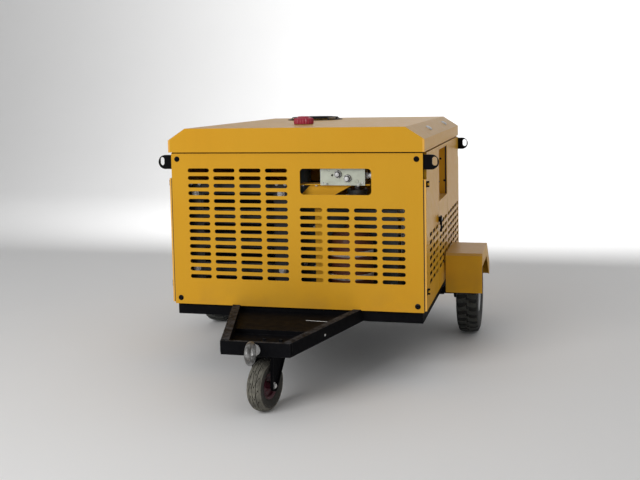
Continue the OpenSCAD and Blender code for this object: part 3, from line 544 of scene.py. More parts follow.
def islands(node):
    """Boxes of a CAD node's separate solids, as (lowest corner, highest corner)."""
    data = nodes[node].data
    parent = list(range(len(data.vertices)))

    def root(i):
        while parent[i] != i:
            parent[i] = parent[parent[i]]
            i = parent[i]
        return i

    same = {}
    for v in data.vertices:
        key = tuple(round(c, 6) for c in v.co)
        parent[root(v.index)] = root(same.setdefault(key, v.index))
    for e in data.edges:
        parent[root(e.vertices[0])] = root(e.vertices[1])
    boxes = {}
    for v in data.vertices:
        low, high = boxes.setdefault(root(v.index), (v.co.copy(), v.co.copy()))
        low.x, low.y, low.z = map(min, low, v.co)
        high.x, high.y, high.z = map(max, high, v.co)
    return list(boxes.values())


# ---- CAD nodes: materials and softened edges -----------------------------------------------

EDGE = {"front_panel": 0.7, "roof_cover": 1.6, "door_left": 1.0, "door_right": 1.0,
        "side_panels_left": 1.0, "side_panels_right": 1.0, "corner_trims": 0.8, "fender_left": 1.2,
        "fender_right": 1.2, "base_frame": 2.5, "drawbar_frame": 3.5, "lifting_lugs": 1.6,
        "manifold_block": 1.5, "axle_beam": 3.0, "caster_bracket": 1.0, "floor_pan": 1.0,
        "wheel_rim_left": 1.0, "wheel_rim_right": 1.0, "caster_rim": 0.8, "oil_tank": 2.0,
        "control_box": 0.8, "caster_fork": 0.9, "caster_top_plate": 1.0, "manifold_shelf": 0.8,
        "rear_panel": 0.7,
        "fender_brackets": 1.5, "canopy_frame": 1.0, "door_latch_left": 1.2,
        "door_latch_right": 1.2, "main_switch": 1.5}

for name, thing in nodes.items():
    thing.data.materials.clear()
    thing.data.materials.append(materials[node_slot[name]])
    if name in EDGE:
        flat = thing.modifiers.new("flat", "DECIMATE")
        flat.decimate_type = "DISSOLVE"
        flat.angle_limit = math.radians(0.4)
        add_bevel(thing, EDGE[name] * MM)
        even = thing.modifiers.new("even", "WEIGHTED_NORMAL")
        even.weight = 90
        even.keep_sharp = True


# ---- tyres ---------------------------------------------------------------------------------

def between(profile, x):
    """Radius of a profile [(x, radius), ...] at x."""
    for (x0, r0), (x1, r1) in zip(profile, profile[1:]):
        if x0 <= x <= x1:
            return r0 + (r1 - r0) * (x - x0) / (x1 - x0)
    return profile[-1][1]


def tread_block(mesh, put, crown, depth, path, half_length, taper=0.86):
    """A raised block on the tread, along path [(x, angle), ...]; half_length is round the tyre."""
    rows = []
    for x, angle in path:
        top, foot = between(crown, abs(x)), between(crown, abs(x)) - depth
        wide = half_length / top
        rows.append([put(x, foot - 0.002, angle - wide), put(x, top, angle - wide * taper),
                     put(x, top, angle + wide * taper), put(x, foot - 0.002, angle + wide)])
    rows = [[mesh.verts.new(p) for p in row] for row in rows]
    bridge(mesh, rows, round_points=True)
    mesh.faces.new(rows[0][::-1])
    mesh.faces.new(rows[-1])


def tyre(name, joint, node, slot, body, side, depth, draw_tread):
    """A smooth carcass from side, [(x share, radius share), ...] from the bead, plus its tread."""
    centre, axis, half, radius = wheel_frame(joint, node)
    out = side[:]
    crown_inner = [(x * half, r * radius - depth if r > 0.93 else r * radius) for x, r in out]
    profile = [(r, x) for x, r in crown_inner] + [(r, -x) for x, r in reversed(crown_inner)]
    mesh = bmesh.new()
    lathe(mesh, profile, centre, axis, 144)
    turn = axes(axis)

    def put(x, r, angle):
        return centre + turn @ Vector((r * math.cos(angle), r * math.sin(angle), x))

    crown = sorted((x * half, r * radius) for x, r in side if r > 0.86)
    crown.insert(0, (0.0, radius))
    draw_tread(mesh, put, crown, depth, half, radius)
    return piece(name, mesh, slot, body, smooth=38.0, replaces=(node,))


def traction_tread(mesh, put, crown, depth, half, radius):
    """Bars from near the middle out over the shoulders, left and right in turn, and a rib."""
    count = 30
    for k in range(count):
        base = 2 * math.pi * k / count
        for side in (-1, 1):
            shift = base + (math.pi / count if side > 0 else 0.0)
            path = [(side * half * s, shift + 0.075 * min(s, 0.62)) for s in (0.08, 0.3, 0.5, 0.66,
                                                                              0.8, 0.9, 0.955)]
            tread_block(mesh, put, crown, depth, path, radius * math.pi / count * 0.56)
        block = [(half * s, base + 0.05 + 0.03 * s) for s in (-0.15, 0.0, 0.15)]
        tread_block(mesh, put, crown, depth, block, radius * math.pi / count * 0.34)


def curved_block(mesh, put, crown, depth, xs, angles, half_angle, steps=5):
    """A long raised block that follows the tyre's round; xs and angles give its middle line."""
    tops, feet = [], []
    for x, angle in zip(xs, angles):
        top = between(crown, abs(x))
        spread = [angle + half_angle * (2 * j / steps - 1) for j in range(steps + 1)]
        tops.append([mesh.verts.new(put(x, top, a)) for a in spread])
        wider = [angle + (half_angle + 0.012) * (2 * j / steps - 1) for j in range(steps + 1)]
        feet.append([mesh.verts.new(put(x, top - depth - 0.002, a)) for a in wider])
    for here, there in zip(tops, tops[1:]):
        for j in range(steps):
            mesh.faces.new((here[j], here[j + 1], there[j + 1], there[j]))
    for i in range(len(xs) - 1):
        mesh.faces.new((tops[i][0], tops[i + 1][0], feet[i + 1][0], feet[i][0]))
        mesh.faces.new((tops[i + 1][-1], tops[i][-1], feet[i][-1], feet[i + 1][-1]))
    for j in range(steps):
        mesh.faces.new((tops[0][j + 1], tops[0][j], feet[0][j], feet[0][j + 1]))
        mesh.faces.new((tops[-1][j], tops[-1][j + 1], feet[-1][j + 1], feet[-1][j]))


def block_tread(mesh, put, crown, depth, half, radius):
    """Long blocks in four staggered rows with zigzag grooves, and lugs down the side walls."""
    count = 13
    pitch = 2 * math.pi / count
    for k in range(count):
        for row, (low, high) in enumerate(((-0.96, -0.50), (-0.42, -0.04), (0.04, 0.42),
                                           (0.50, 0.96))):
            middle_angle = k * pitch + (pitch / 2 if row in (1, 2) else 0.0)
            lean = 0.20 if row % 2 else -0.20
            xs = [half * (low + (high - low) * i / 5) for i in range(6)]
            bend = [middle_angle + lean * (abs(i / 5 - 0.5) * 2 - 0.5) for i in range(6)]
            curved_block(mesh, put, crown, depth, xs, bend, pitch / 2 * 0.86)
        for side in (-1, 1):
            first = k * pitch - (0.20 * 0.5 if side > 0 else -0.20 * 0.5)
            rows = []
            for i in range(7):
                a = first + pitch / 2 * 0.80 * (i / 3 - 1)
                rows.append([mesh.verts.new(put(side * half * x, radius * r, a)) for x, r in (
                    (0.93, 0.72), (0.992, 0.765), (0.988, 0.83), (0.965, 0.868), (0.925, 0.895),
                    (0.84, 0.865))])
            bridge(mesh, rows)
            mesh.faces.new(rows[0])
            mesh.faces.new(rows[-1][::-1])


MAIN_SIDE = [(0.65, 0.436), (0.74, 0.492), (0.83, 0.50), (0.86, 0.53), (0.90, 0.57), (0.95, 0.62),
             (0.985, 0.67),
             (1.0, 0.715), (1.0, 0.73), (0.985, 0.735), (0.985, 0.745), (1.0, 0.75), (1.0, 0.80),
             (0.985, 0.85),
             (0.955, 0.895), (0.90, 0.93), (0.86, 0.952), (0.80, 0.972), (0.68, 0.984),
             (0.52, 0.993), (0.3, 0.998)]
for side in ("left", "right"):
    tyre(f"tyre_{side}", f"wheel_{side}_spin", f"wheel_tyre_{side}", "tyre_black", f"wheel_{side}",
         MAIN_SIDE, 0.009, traction_tread)

CASTER_SIDE = [(0.57, 0.478), (0.70, 0.515), (0.80, 0.535), (0.88, 0.58), (0.945, 0.645),
               (0.985, 0.70),
               (1.0, 0.745), (1.0, 0.775), (0.98, 0.785), (0.985, 0.80), (0.955, 0.845),
               (0.89, 0.89),
               (0.80, 0.93), (0.68, 0.96), (0.52, 0.98), (0.3, 0.994), (0.12, 0.999)]
tyre("caster_tyre_tread", "caster_wheel_spin", "caster_tyre", "caster_rubber", "caster_wheel",
     CASTER_SIDE, 0.0065, block_tread)


# ---- fork, eye, guard, cap and screws ------------------------------------------------------

def screw_heads():
    """Button-head socket screws in place of the plain conical heads."""
    mesh = bmesh.new()
    for low, high in islands("panel_bolts"):
        centre = (low + high) / 2
        out = -1 if centre.y < 0 else 1
        face = Vector((centre.x, low.y if out < 0 else high.y, centre.z))
        face.y -= out * 0.007
        button_head(mesh, face, Vector((0, out, 0)), 0.013, 0.0068)
    return piece("panel_screws", mesh, "black_paint", replaces=("panel_bolts",))


def button_head(mesh, face, direction, radius, height):
    """Domed head with a hexagon socket, on a thin washer."""
    washer = [(radius * 1.04, 0), (radius * 1.04, height * 0.18), (radius * 0.6, height * 0.2)]
    dome = [(radius * 0.96, height * 0.2), (radius * 0.94, height * 0.42),
            (radius * 0.80, height * 0.72),
            (radius * 0.60, height * 0.92), (radius * 0.46, height)]
    rings = lathe(mesh, [(radius * 0.3, 0)] + washer[:2] + dome, face, direction, 36, closed=False)
    mesh.faces.new([ring[0] for ring in rings])
    put = placed(face, direction)
    rim = [ring[-1] for ring in rings]
    socket = [mesh.verts.new(put(a, b, height * 0.92)) for a, b in hexagon(radius * 0.66)]
    floor = [mesh.verts.new(put(a, b, height * 0.42)) for a, b in hexagon(radius * 0.64)]
    per = len(rim) // 6
    for k in range(6):
        n = (k + 1) % 6
        arc = [rim[(k * per + i) % len(rim)] for i in range(per + 1)]
        for i in range(per):
            if i < per // 2:
                mesh.faces.new((arc[i], arc[i + 1], socket[k]))
            else:
                mesh.faces.new((arc[i], arc[i + 1], socket[n]))
        mesh.faces.new((arc[per // 2], socket[n], socket[k]))
        mesh.faces.new((socket[k], socket[n], floor[n], floor[k]))
    mesh.faces.new(floor)


def roof_screws():
    """Large bright roof fasteners on the sloped shoulders."""
    mesh = bmesh.new()
    shoulder_drop, shoulder_run = 0.058, 0.090
    slope = math.atan2(shoulder_drop, shoulder_run)
    for low, high in islands("roof_bolts"):
        side = 1 if low.x > 0 else -1
        out = Vector((side * math.sin(slope), 0, math.cos(slope)))
        button_head(mesh, (low + high) / 2, out, 0.0185, 0.0088)
    return piece("roof_screws", mesh, "zinc", replaces=("roof_bolts",))


def towing_eye():
    """Forged ring with a round section, a swelling neck, a collar, a shank and a locking nut."""
    low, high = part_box("tow_eye")
    mount = next(m for m in record["mounts"] if m["name"] == "tow_eye")
    centre = Vector(mount["pos_m"])
    hole = mount["dims"]["r_mm"] * MM
    outer = centre.y - low.y
    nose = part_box("drawbar_frame")[0].y
    tube_r = (outer - hole) / 2
    mesh = bmesh.new()
    section = []
    for k in range(20):
        a = 2 * math.pi * k / 20
        section.append((hole + tube_r + tube_r * math.cos(a),
                        0.0138 * math.sin(a) * (1 - 0.12 * math.cos(a))))
    lathe(mesh, section, centre, X, 96)
    neck_start = outer * 0.80
    neck = [(0.0135, neck_start), (0.0150, outer * 0.94), (0.0175, outer * 1.02),
            (0.0235, outer * 1.1)]
    collar = nose - centre.y
    neck += [(0.0222, collar - 0.0118), (0.0228, collar - 0.0110), (0.0228, collar)]
    tail = high.y - centre.y
    inside = tail - 0.034
    rod = [(0.0150, collar), (0.0150, inside), (0.0278, inside + 0.0002), (0.0278, inside + 0.0038),
           (0.0150, inside + 0.0040), (0.0150, tail - 0.002), (0.0136, tail)]
    solid_lathe(mesh, neck + rod, centre, Y, 48)
    teeth = []
    for k in range(22):
        a = 2 * math.pi * k / 22
        teeth += [(0.0250 * math.cos(a + d), 0.0250 * math.sin(a + d)) for d in (-0.05, 0.05)]
        teeth += [(0.0215 * math.cos(a + d), 0.0215 * math.sin(a + d)) for d in (0.11, 0.176)]
    prism(mesh, teeth, collar - 0.0095, collar - 0.0008, placed(centre, Y))
    nut_at = centre + Y * (inside + 0.004)
    hex_nut(mesh, nut_at, Y, 0.045, 0.022)
    for i in range(5):
        at = centre + Y * (inside + 0.0275 + i * 0.0013)
        tube(mesh, circle_points(at, Y, 0.0150, 40), 0.00055, 6, closed=True)
    return piece("forged_towing_eye", mesh, "zinc", smooth=50.0, replaces=("tow_eye",))


def lower_race():
    """Lower ball race pressed into the fork's crown."""
    king = Vector(joints["caster_swivel"]["pos_m"])
    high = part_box("caster_fork")[1]
    mesh = bmesh.new()
    race = [(0.0082, -0.012), (0.026, -0.012), (0.031, -0.009), (0.042, -0.0075), (0.0445, -0.0045),
            (0.0435, -0.0006), (0.0082, -0.0003)]
    lathe(mesh, race, Vector((king.x, king.y, high.z)), Z, 64)
    return piece("caster_lower_race", mesh, "black_paint", "caster_fork", smooth=36.0)


def caster_race():
    """Upper ball race and dust lip under the caster's top plate."""
    king = Vector(joints["caster_swivel"]["pos_m"])
    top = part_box("caster_top_plate")[1].z - 0.0082
    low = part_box("caster_fork")[1].z + 0.0006
    mesh = bmesh.new()
    profile = [(0.036, low), (0.0465, low), (0.048, low + 0.0014), (0.048, low + 0.006),
               (0.045, low + 0.009),
               (0.040, low + 0.0115), (0.036, top), (0.033, top)]
    lathe(mesh, profile, Vector((king.x, king.y, 0)), Z, 64)
    return piece("caster_upper_race", mesh, "zinc")


def caster_hardware():
    """The caster's axle bolt with washers and nut, and the nuts and bolts of its plate."""
    spin = joints["caster_wheel_spin"]
    centre, axis = Vector(spin["pos_m"]), Vector(spin["axis"]).normalized()
    reach = [(v.co - centre).dot(axis) for v in nodes["caster_axle"].data.vertices]
    head, tail = max(reach) - 0.0145, min(reach) + 0.0105
    mesh = bmesh.new()
    solid_lathe(mesh, [(0.0060, tail - 0.0090), (0.0060, head + 0.002)], centre, axis, 24)
    for at, side in ((head, 1), (tail, -1)):
        foot = centre + axis * at
        solid_lathe(mesh, [(0.0145, 0.0), (0.0150, 0.0006), (0.0150, 0.0018), (0.0142, 0.0024)],
                    foot, axis * side, 40)
        hex_nut(mesh, foot + axis * side * 0.0022, axis * side, 0.0185, 0.0085,
                dome=0.0016 if side > 0 else 0.0)
    piece("caster_axle_bolt", mesh, "zinc", "caster_fork", replaces=("caster_axle",))
    mesh = bmesh.new()
    for low, high in islands("caster_plate_bolts"):
        x, y = (low.x + high.x) / 2, (low.y + high.y) / 2
        hex_nut(mesh, Vector((x, y, low.z + 0.0064)), -Z, 0.0155, 0.0062, dome=0.0002)
        hex_nut(mesh, Vector((x, y, high.z - 0.010)), Z, 0.0155, 0.0078)
        solid_lathe(mesh, [(0.005, low.z + 0.004), (0.005, high.z - 0.001), (0.0042, high.z)],
                    Vector((x, y, 0)), Z, 20)
    piece("caster_plate_nuts", mesh, "black_paint", replaces=("caster_plate_bolts",))


def wheel_hardware(side):
    """Cone-seat wheel nuts on their studs, and the tyre's valve."""
    sign = 1 if side == "right" else -1
    out = X * sign
    mesh = bmesh.new()
    for low, high in islands(f"wheel_nuts_{side}"):
        end, start = (high.x, low.x) if sign > 0 else (low.x, high.x)
        y, z = (low.y + high.y) / 2, (low.z + high.z) / 2
        solid_lathe(mesh, [(0.0059, 0.0), (0.0059, abs(end - start) - 0.0015),
                           (0.0048, abs(end - start))],
                    Vector((start, y, z)), out, 20)
        seat = Vector((start, y, z)) + out * 0.0152
        solid_lathe(mesh, [(0.0085, -0.0002), (0.0108, 0.0026)], seat, out, 32)
        hex_nut(mesh, seat + out * 0.0024, out, 0.019, 0.0096)
    piece(f"wheel_nut_set_{side}", mesh, "zinc", f"wheel_{side}", replaces=(f"wheel_nuts_{side}",))
    mesh = bmesh.new()
    foot = middle(f"wheel_rim_{side}") + Vector((0, math.cos(0.7), math.sin(0.7))) * 0.0895
    valve = [(0.0078, -0.006), (0.0078, 0.004), (0.0050, 0.010), (0.0042, 0.026), (0.0046, 0.027),
             (0.0046, 0.036),
             (0.0036, 0.038)]
    solid_lathe(mesh, valve, foot, out, 20)
    piece(f"tyre_valve_{side}", mesh, "tyre_black", f"wheel_{side}")


def wire_guard():
    """Round-wire finger guard on a flanged ring."""
    low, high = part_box("roof_fan_guard")
    centre = underside(low, high)
    outer = (high.x - low.x) / 2
    hole = 0.138
    top = high.z - low.z - 0.003
    mesh = bmesh.new()
    lathe(mesh, [(hole, 0), (outer, 0), (outer, 0.0028), (outer - 0.002, 0.004),
                 (hole + 0.002, 0.004),
                 (hole, 0.003)], centre, Z, 96)
    wire = 0.0022
    for i in range(8):
        r = 0.036 + i * 0.0145
        tube(mesh, circle_points(centre + Z * (top - 0.0022 * (i > 5)), Z, r, 96), wire, 8,
             closed=True)
    for k in range(8):
        a = 2 * math.pi * k / 8
        out = Vector((math.cos(a), math.sin(a), 0))
        reach = [0.018, 0.06, 0.10, 0.138, 0.146, 0.1505, 0.151]
        rise = [top - 0.004, top - 0.004, top - 0.004, top - 0.0045, top - 0.0065, top - 0.012,
                0.0035]
        tube(mesh, [centre + out * r + Z * h for r, h in zip(reach, rise)], wire * 1.15, 8)
    solid_lathe(mesh, [(0.033, top - 0.006), (0.034, top - 0.003), (0.031, top + 0.0012),
                       (0.012, top + 0.0026)],
                centre, Z, 48)
    for k in range(4):
        a = math.radians(45 + 90 * k)
        at = centre + Vector((math.cos(a), math.sin(a),
                              0)) * ((outer + hole) / 2 + 0.001) + Z * 0.004
        button_head(mesh, at, Z, 0.0055, 0.0035)
    return piece("fan_wire_guard", mesh, "black_paint", smooth=45.0, replaces=("roof_fan_guard",))


def grip_cap():
    """Moulded filler cap with grip ribs, a domed top and a raised rim."""
    low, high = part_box("filler_cap")
    centre = underside(low, high)
    height = high.z - low.z
    mesh = bmesh.new()
    rows = [(0.0310, 0.0), (0.0465, 0.0), (0.0490, 0.0022), (0.0490, height * 0.55),
            (0.0480, height * 0.66), (0.0440, height * 0.76), (0.0380, height * 0.82),
            (0.0345, height * 0.83), (0.0330, height * 0.88), (0.0300, height * 0.97),
            (0.0200, height), (0.0060, height)]
    rings = []
    for a in turns(144):
        grip = 0.0032 * (0.5 + 0.5 * math.cos(a * 24)) ** 2
        rings.append([mesh.verts.new(centre + polar(r + (grip if 2 <= i <= 5 else 0.0), a, h))
                      for i, (r, h) in enumerate(rows)])
    bridge(mesh, rings, round_rows=True)
    mesh.faces.new([ring[-1] for ring in rings])
    mesh.faces.new([ring[0] for ring in rings][::-1])
    return piece("ribbed_filler_cap", mesh, "cap_red", "filler_cap", replaces=("filler_cap",))


def port_fittings():
    """Hose ports on the manifold: hexagon adapters with a stepped collar, thread and open bore; a dark disc under
    each front port's hexagon as a painted shadow ring, and a seal ring on each barrel.
    """
    mesh = bmesh.new()
    seal_and_shadow_rings = bmesh.new()
    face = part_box("manifold_block")[0].y
    for low, high in islands("port_adapters"):
        centre = (low + high) / 2
        if high.y < face + 0.03 and low.y < face:
            at = Vector((centre.x, face, centre.z))
            hex_nut(mesh, at, -Y, 0.032, 0.011, up=Vector((0.3, 0, 1)))
            barrel = [(0.0150, 0.0105), (0.0150, 0.0125), (0.0140, 0.0135), (0.0105, 0.0140)]
            for i in range(5):
                barrel += [(0.0105, 0.0158 + i * 0.0022), (0.0097, 0.0169 + i * 0.0022)]
            barrel += [(0.0100, 0.0276), (0.0092, 0.0279), (0.0080, 0.0279), (0.0078, 0.0258),
                       (0.0064, 0.0258),
                       (0.0062, 0.0276), (0.0050, 0.0279)]
            solid_lathe(mesh, barrel, at, -Y, 48)
            # painted shadow: the dark disc under each hexagon stands for the shadow ring round the fitting; the
            # thin ring on the barrel is a seal
            solid_lathe(seal_and_shadow_rings, [(0.0186, 0.0), (0.0186, 0.0022), (0.0172, 0.0034)], at, -Y, 48)
            lathe(seal_and_shadow_rings, [(0.0104, 0.0134), (0.0147, 0.0134), (0.0147, 0.0146), (0.0104, 0.0146)],
                  at, -Y, 48)
        else:
            start = Vector((low.x, centre.y, centre.z))
            hex_nut(mesh, start, X, 0.030, 0.012)
            solid_lathe(mesh, [(0.0118, 0.010), (0.0118, 0.0195), (0.0155, 0.020), (0.0160, 0.0215),
                               (0.0160, 0.0285), (0.0150, 0.030), (0.0150, 0.0362),
                               (0.0138, 0.038)], start, X, 48)
    piece("port_seal_and_shadow_rings", seal_and_shadow_rings, "hose_rubber")
    return piece("manifold_fittings", mesh, "zinc", replaces=("port_adapters",))


screw_heads()
roof_screws()
towing_eye()
lower_race()
caster_race()
caster_hardware()
for side in ("left", "right"):
    wheel_hardware(side)
wire_guard()
grip_cap()
port_fittings()


# ---- hydraulics, drive and controls ---------------------------------------------------------

def hex_bolt(mesh, foot, direction, across=0.013, height=0.0055, washer=True):
    """Bolt head on a washer, standing on a face at foot."""
    foot = Vector(foot)
    direction = Vector(direction)
    lift = 0.0
    if washer:
        solid_lathe(mesh, [(across * 0.86, 0.0), (across * 0.86, 0.0011), (across * 0.8, 0.0015)],
                    foot, direction, 28)
        lift = 0.0013
    hex_nut(mesh, foot + direction * lift, direction, across, height, dome=0.0006)


def bolt_ring(mesh, centre, direction, radius, count, across=0.013, first=0.0):
    put = placed(centre, direction)
    for k in range(count):
        a = first + 2 * math.pi * k / count
        hex_bolt(mesh, put(radius * math.cos(a), radius * math.sin(a), 0), direction, across)


def manifold_details():
    """Plugs and screws on the manifold's face, and the bolts that hold its shelf."""
    low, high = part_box("manifold_block")
    shelf_low, shelf_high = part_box("manifold_shelf")
    mesh = bmesh.new()
    for x, z in ((low.x + 0.012, low.z + 0.012), (low.x + 0.012, high.z - 0.012),
                 (high.x - 0.012, low.z + 0.012),
                 (high.x - 0.012, high.z - 0.012)):
        button_head(mesh, Vector((x, low.y, z)), -Y, 0.0048, 0.0032)
    for x in (low.x + 0.030, high.x - 0.028):
        hex_bolt(mesh, Vector((x, low.y - 0.010, shelf_high.z)), Z, 0.010, 0.0045)
    for x in (shelf_low.x + 0.030, shelf_low.x + 0.098, shelf_high.x - 0.060):
        hex_bolt(mesh, Vector((x, shelf_low.y + 0.010, shelf_high.z - 0.0052)), -Z, 0.010, 0.0045)
    piece("manifold_screws", mesh, "zinc")
    mesh = bmesh.new()
    for x, z in ((low.x + 0.040, high.z - 0.020), (high.x - 0.040, low.z + 0.020)):
        solid_lathe(mesh, [(0.0085, 0.0), (0.0085, 0.0016), (0.0078, 0.0022), (0.0040, 0.0022),
                           (0.0036, 0.0004)],
                    Vector((x, low.y, z)), -Y, 32)
    piece("manifold_plugs", mesh, "block_steel")


def hose_ferrules():
    """Crimped ferrules and hexagons at the hose ends."""
    mesh = bmesh.new()
    for low, high in islands("hydraulic_hoses"):
        bends = high.z - low.z > 0.1
        r = (high.x - low.x) / 2
        x = (low.x + high.x) / 2
        ends = [(Vector((x, low.y, high.z - r if bends else (low.z + high.z) / 2)), Y)]
        ends.append((Vector((x, high.y - r, low.z)),
                     Z) if bends else (Vector((x, high.y, (low.z + high.z) / 2)), -Y))
        for foot, along in ends:
            hex_nut(mesh, foot, along, 2 * r + 0.006, 0.012)
            sleeve = [(r * 0.9, 0.010), (r + 0.0018, 0.010)]
            for k in range(6):
                sleeve += [(r + 0.0038, 0.0125 + k * 0.0055), (r + 0.0038, 0.0155 + k * 0.0055),
                           (r + 0.0026, 0.0165 + k * 0.0055)]
            sleeve += [(r + 0.0034, 0.0485), (r * 0.98, 0.0500)]
            solid_lathe(mesh, sleeve, foot, along, 40)
    piece("hose_ferrule_set", mesh, "zinc")


def cooler_fins():
    """Folded air fins between the cooler's flat tubes, and the fittings on its end tanks."""
    low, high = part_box("oil_cooler")
    core_x = (low.x + 0.071, high.x - 0.071)
    front = low.y + 0.0046
    mesh = bmesh.new()
    base = high.z - 0.5
    for row in range(16):
        z0 = base + row * 0.030
        count = 92
        step = (core_x[1] - core_x[0]) / count
        upper, lower = [], []
        for i in range(count + 1):
            z = z0 + (0.0006 if i % 2 else 0.0174)
            upper.append((core_x[0] + i * step, z + 0.00035))
            lower.append((core_x[0] + i * step, z - 0.00035))
        for (x0, a0), (x1, a1), (_, b0), (_, b1) in zip(upper, upper[1:], lower, lower[1:]):
            front_ring = [mesh.verts.new((x, front, z)) for x,
                          z in ((x0, b0), (x1, b1), (x1, a1), (x0, a0))]
            back_ring = [mesh.verts.new((x, front + 0.0112, z)) for x,
                         z in ((x0, b0), (x1, b1), (x1, a1), (x0, a0))]
            mesh.faces.new(front_ring)
            mesh.faces.new(back_ring[::-1])
            for i in range(4):
                j = (i + 1) % 4
                mesh.faces.new((front_ring[j], front_ring[i], back_ring[i], back_ring[j]))
    piece("cooler_fin_rows", mesh, "dark_core", smooth=20.0)
    mesh = bmesh.new()
    for x in (low.x + 0.030, high.x - 0.030):
        for z in (high.z - 0.060, high.z - 0.440):
            solid_lathe(mesh, [(0.019, -0.001), (0.019, 0.0018), (0.0165, 0.003), (0.0165, 0.0034)],
                        Vector((x, low.y, z)), -Y, 40)
            hex_nut(mesh, Vector((x, low.y - 0.0030, z)), -Y, 0.024, 0.009, dome=0.001)
    for x in (low.x + 0.008, low.x + 0.052, high.x - 0.052, high.x - 0.008):
        for z in (high.z - 0.012, high.z - 0.508):
            hex_bolt(mesh, Vector((x, low.y, z)), -Y, 0.010, 0.0045)
    piece("cooler_fittings", mesh, "zinc")


def tank_details():
    """The oil tank's cover bolts, level gauge, drain plug, edge welds and filler flange."""
    low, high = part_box("oil_tank")
    tank_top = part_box("return_filter")[0].z
    cover = Vector((0.020, low.y, tank_top - 0.200))
    mesh = bmesh.new()
    bolt_ring(mesh, cover, -Y, 0.104, 12, 0.013)
    solid_lathe(mesh, [(0.011, 0.0), (0.011, 0.004)],
                Vector((high.x - 0.030, low.y + 0.008, tank_top - 0.390)), -Y, 24)
    hex_nut(mesh, Vector((high.x - 0.030, low.y + 0.004, tank_top - 0.390)), -Y, 0.022, 0.010,
            dome=0.001)
    neck = joints["filler_cap_turn"]["pos_m"]
    rod = Vector((neck[0], neck[1], tank_top))
    bolt_ring(mesh, rod + Z * 0.006, Z, 0.043, 6, 0.008)
    piece("tank_bolts", mesh, "zinc")
    mesh = bmesh.new()
    lathe(mesh, [(0.0305, -0.0004), (0.052, -0.0004), (0.052, 0.0052), (0.0505, 0.0060),
                 (0.0305, 0.0060)], rod, Z, 64)
    inset = 0.0005
    for y in (low.y + 0.008 + inset, high.y - inset):
        weld(mesh, (low.x + 0.004, y, tank_top - inset), (high.x - 0.004, y, tank_top - inset),
             0.0026)
    for x in (low.x + inset, high.x - inset):
        weld(mesh, (x, low.y + 0.012, tank_top - inset), (x, high.y - 0.004, tank_top - inset),
             0.0026)
    piece("tank_seams", mesh, "grey_machine", smooth=50.0)
    mesh = bmesh.new()
    face = high.x
    y = low.y + 0.080
    for z in (tank_top - 0.260, tank_top - 0.070):
        solid_lathe(mesh, [(0.013, -0.001), (0.013, 0.010), (0.0115, 0.0125), (0.006, 0.013)],
                    Vector((face, y, z)), X, 32)
    prism(mesh, [(-0.010, -0.110), (0.010, -0.110), (0.010, 0.110), (-0.010, 0.110)], 0.002, 0.009,
          lambda a, b, c: Vector((face + c, y + a, tank_top - 0.165 + b)))
    piece("level_gauge", mesh, "fan_black", bevel=0.0008)
    mesh = bmesh.new()
    tube(mesh, [(face + 0.0085, y, tank_top - 0.255), (face + 0.0085, y, tank_top - 0.075)], 0.0036,
         16)
    piece("level_gauge_tube", mesh, "rim_silver", smooth=50.0)


def filter_and_accumulator():
    """Lid bolts of the return filter; clamp band, seam and valve guard of the accumulator."""
    low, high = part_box("return_filter")
    centre = (low + high) / 2
    mesh = bmesh.new()
    bolt_ring(mesh, Vector((centre.x, centre.y, high.z - 0.023)), Z, 0.045, 4, 0.011, 0.4)
    low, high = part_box("accumulator")
    middle_xy = Vector(((low.x + high.x) / 2, (low.y + high.y) / 2, 0))
    r = (high.x - low.x) / 2
    for at in (low.z + 0.130, low.z + 0.245):
        lathe(mesh, [(r - 0.0002, at - 0.013), (r + 0.0018, at - 0.013), (r + 0.0024, at - 0.0115),
                     (r + 0.0024, at + 0.0115), (r + 0.0018, at + 0.013), (r - 0.0002, at + 0.013)],
              middle_xy, Z, 96)
        hex_bolt(mesh, middle_xy + Vector((0.0, -r - 0.0022, at)), -Y, 0.013, 0.006)
    piece("filter_and_clamp_hardware", mesh, "zinc")
    mesh = bmesh.new()
    tube(mesh, circle_points(middle_xy + Z * (low.z + 0.188), Z, r + 0.0006, 120), 0.0024, 8,
         closed=True)
    piece("accumulator_seam", mesh, "brown_paint", smooth=60.0)


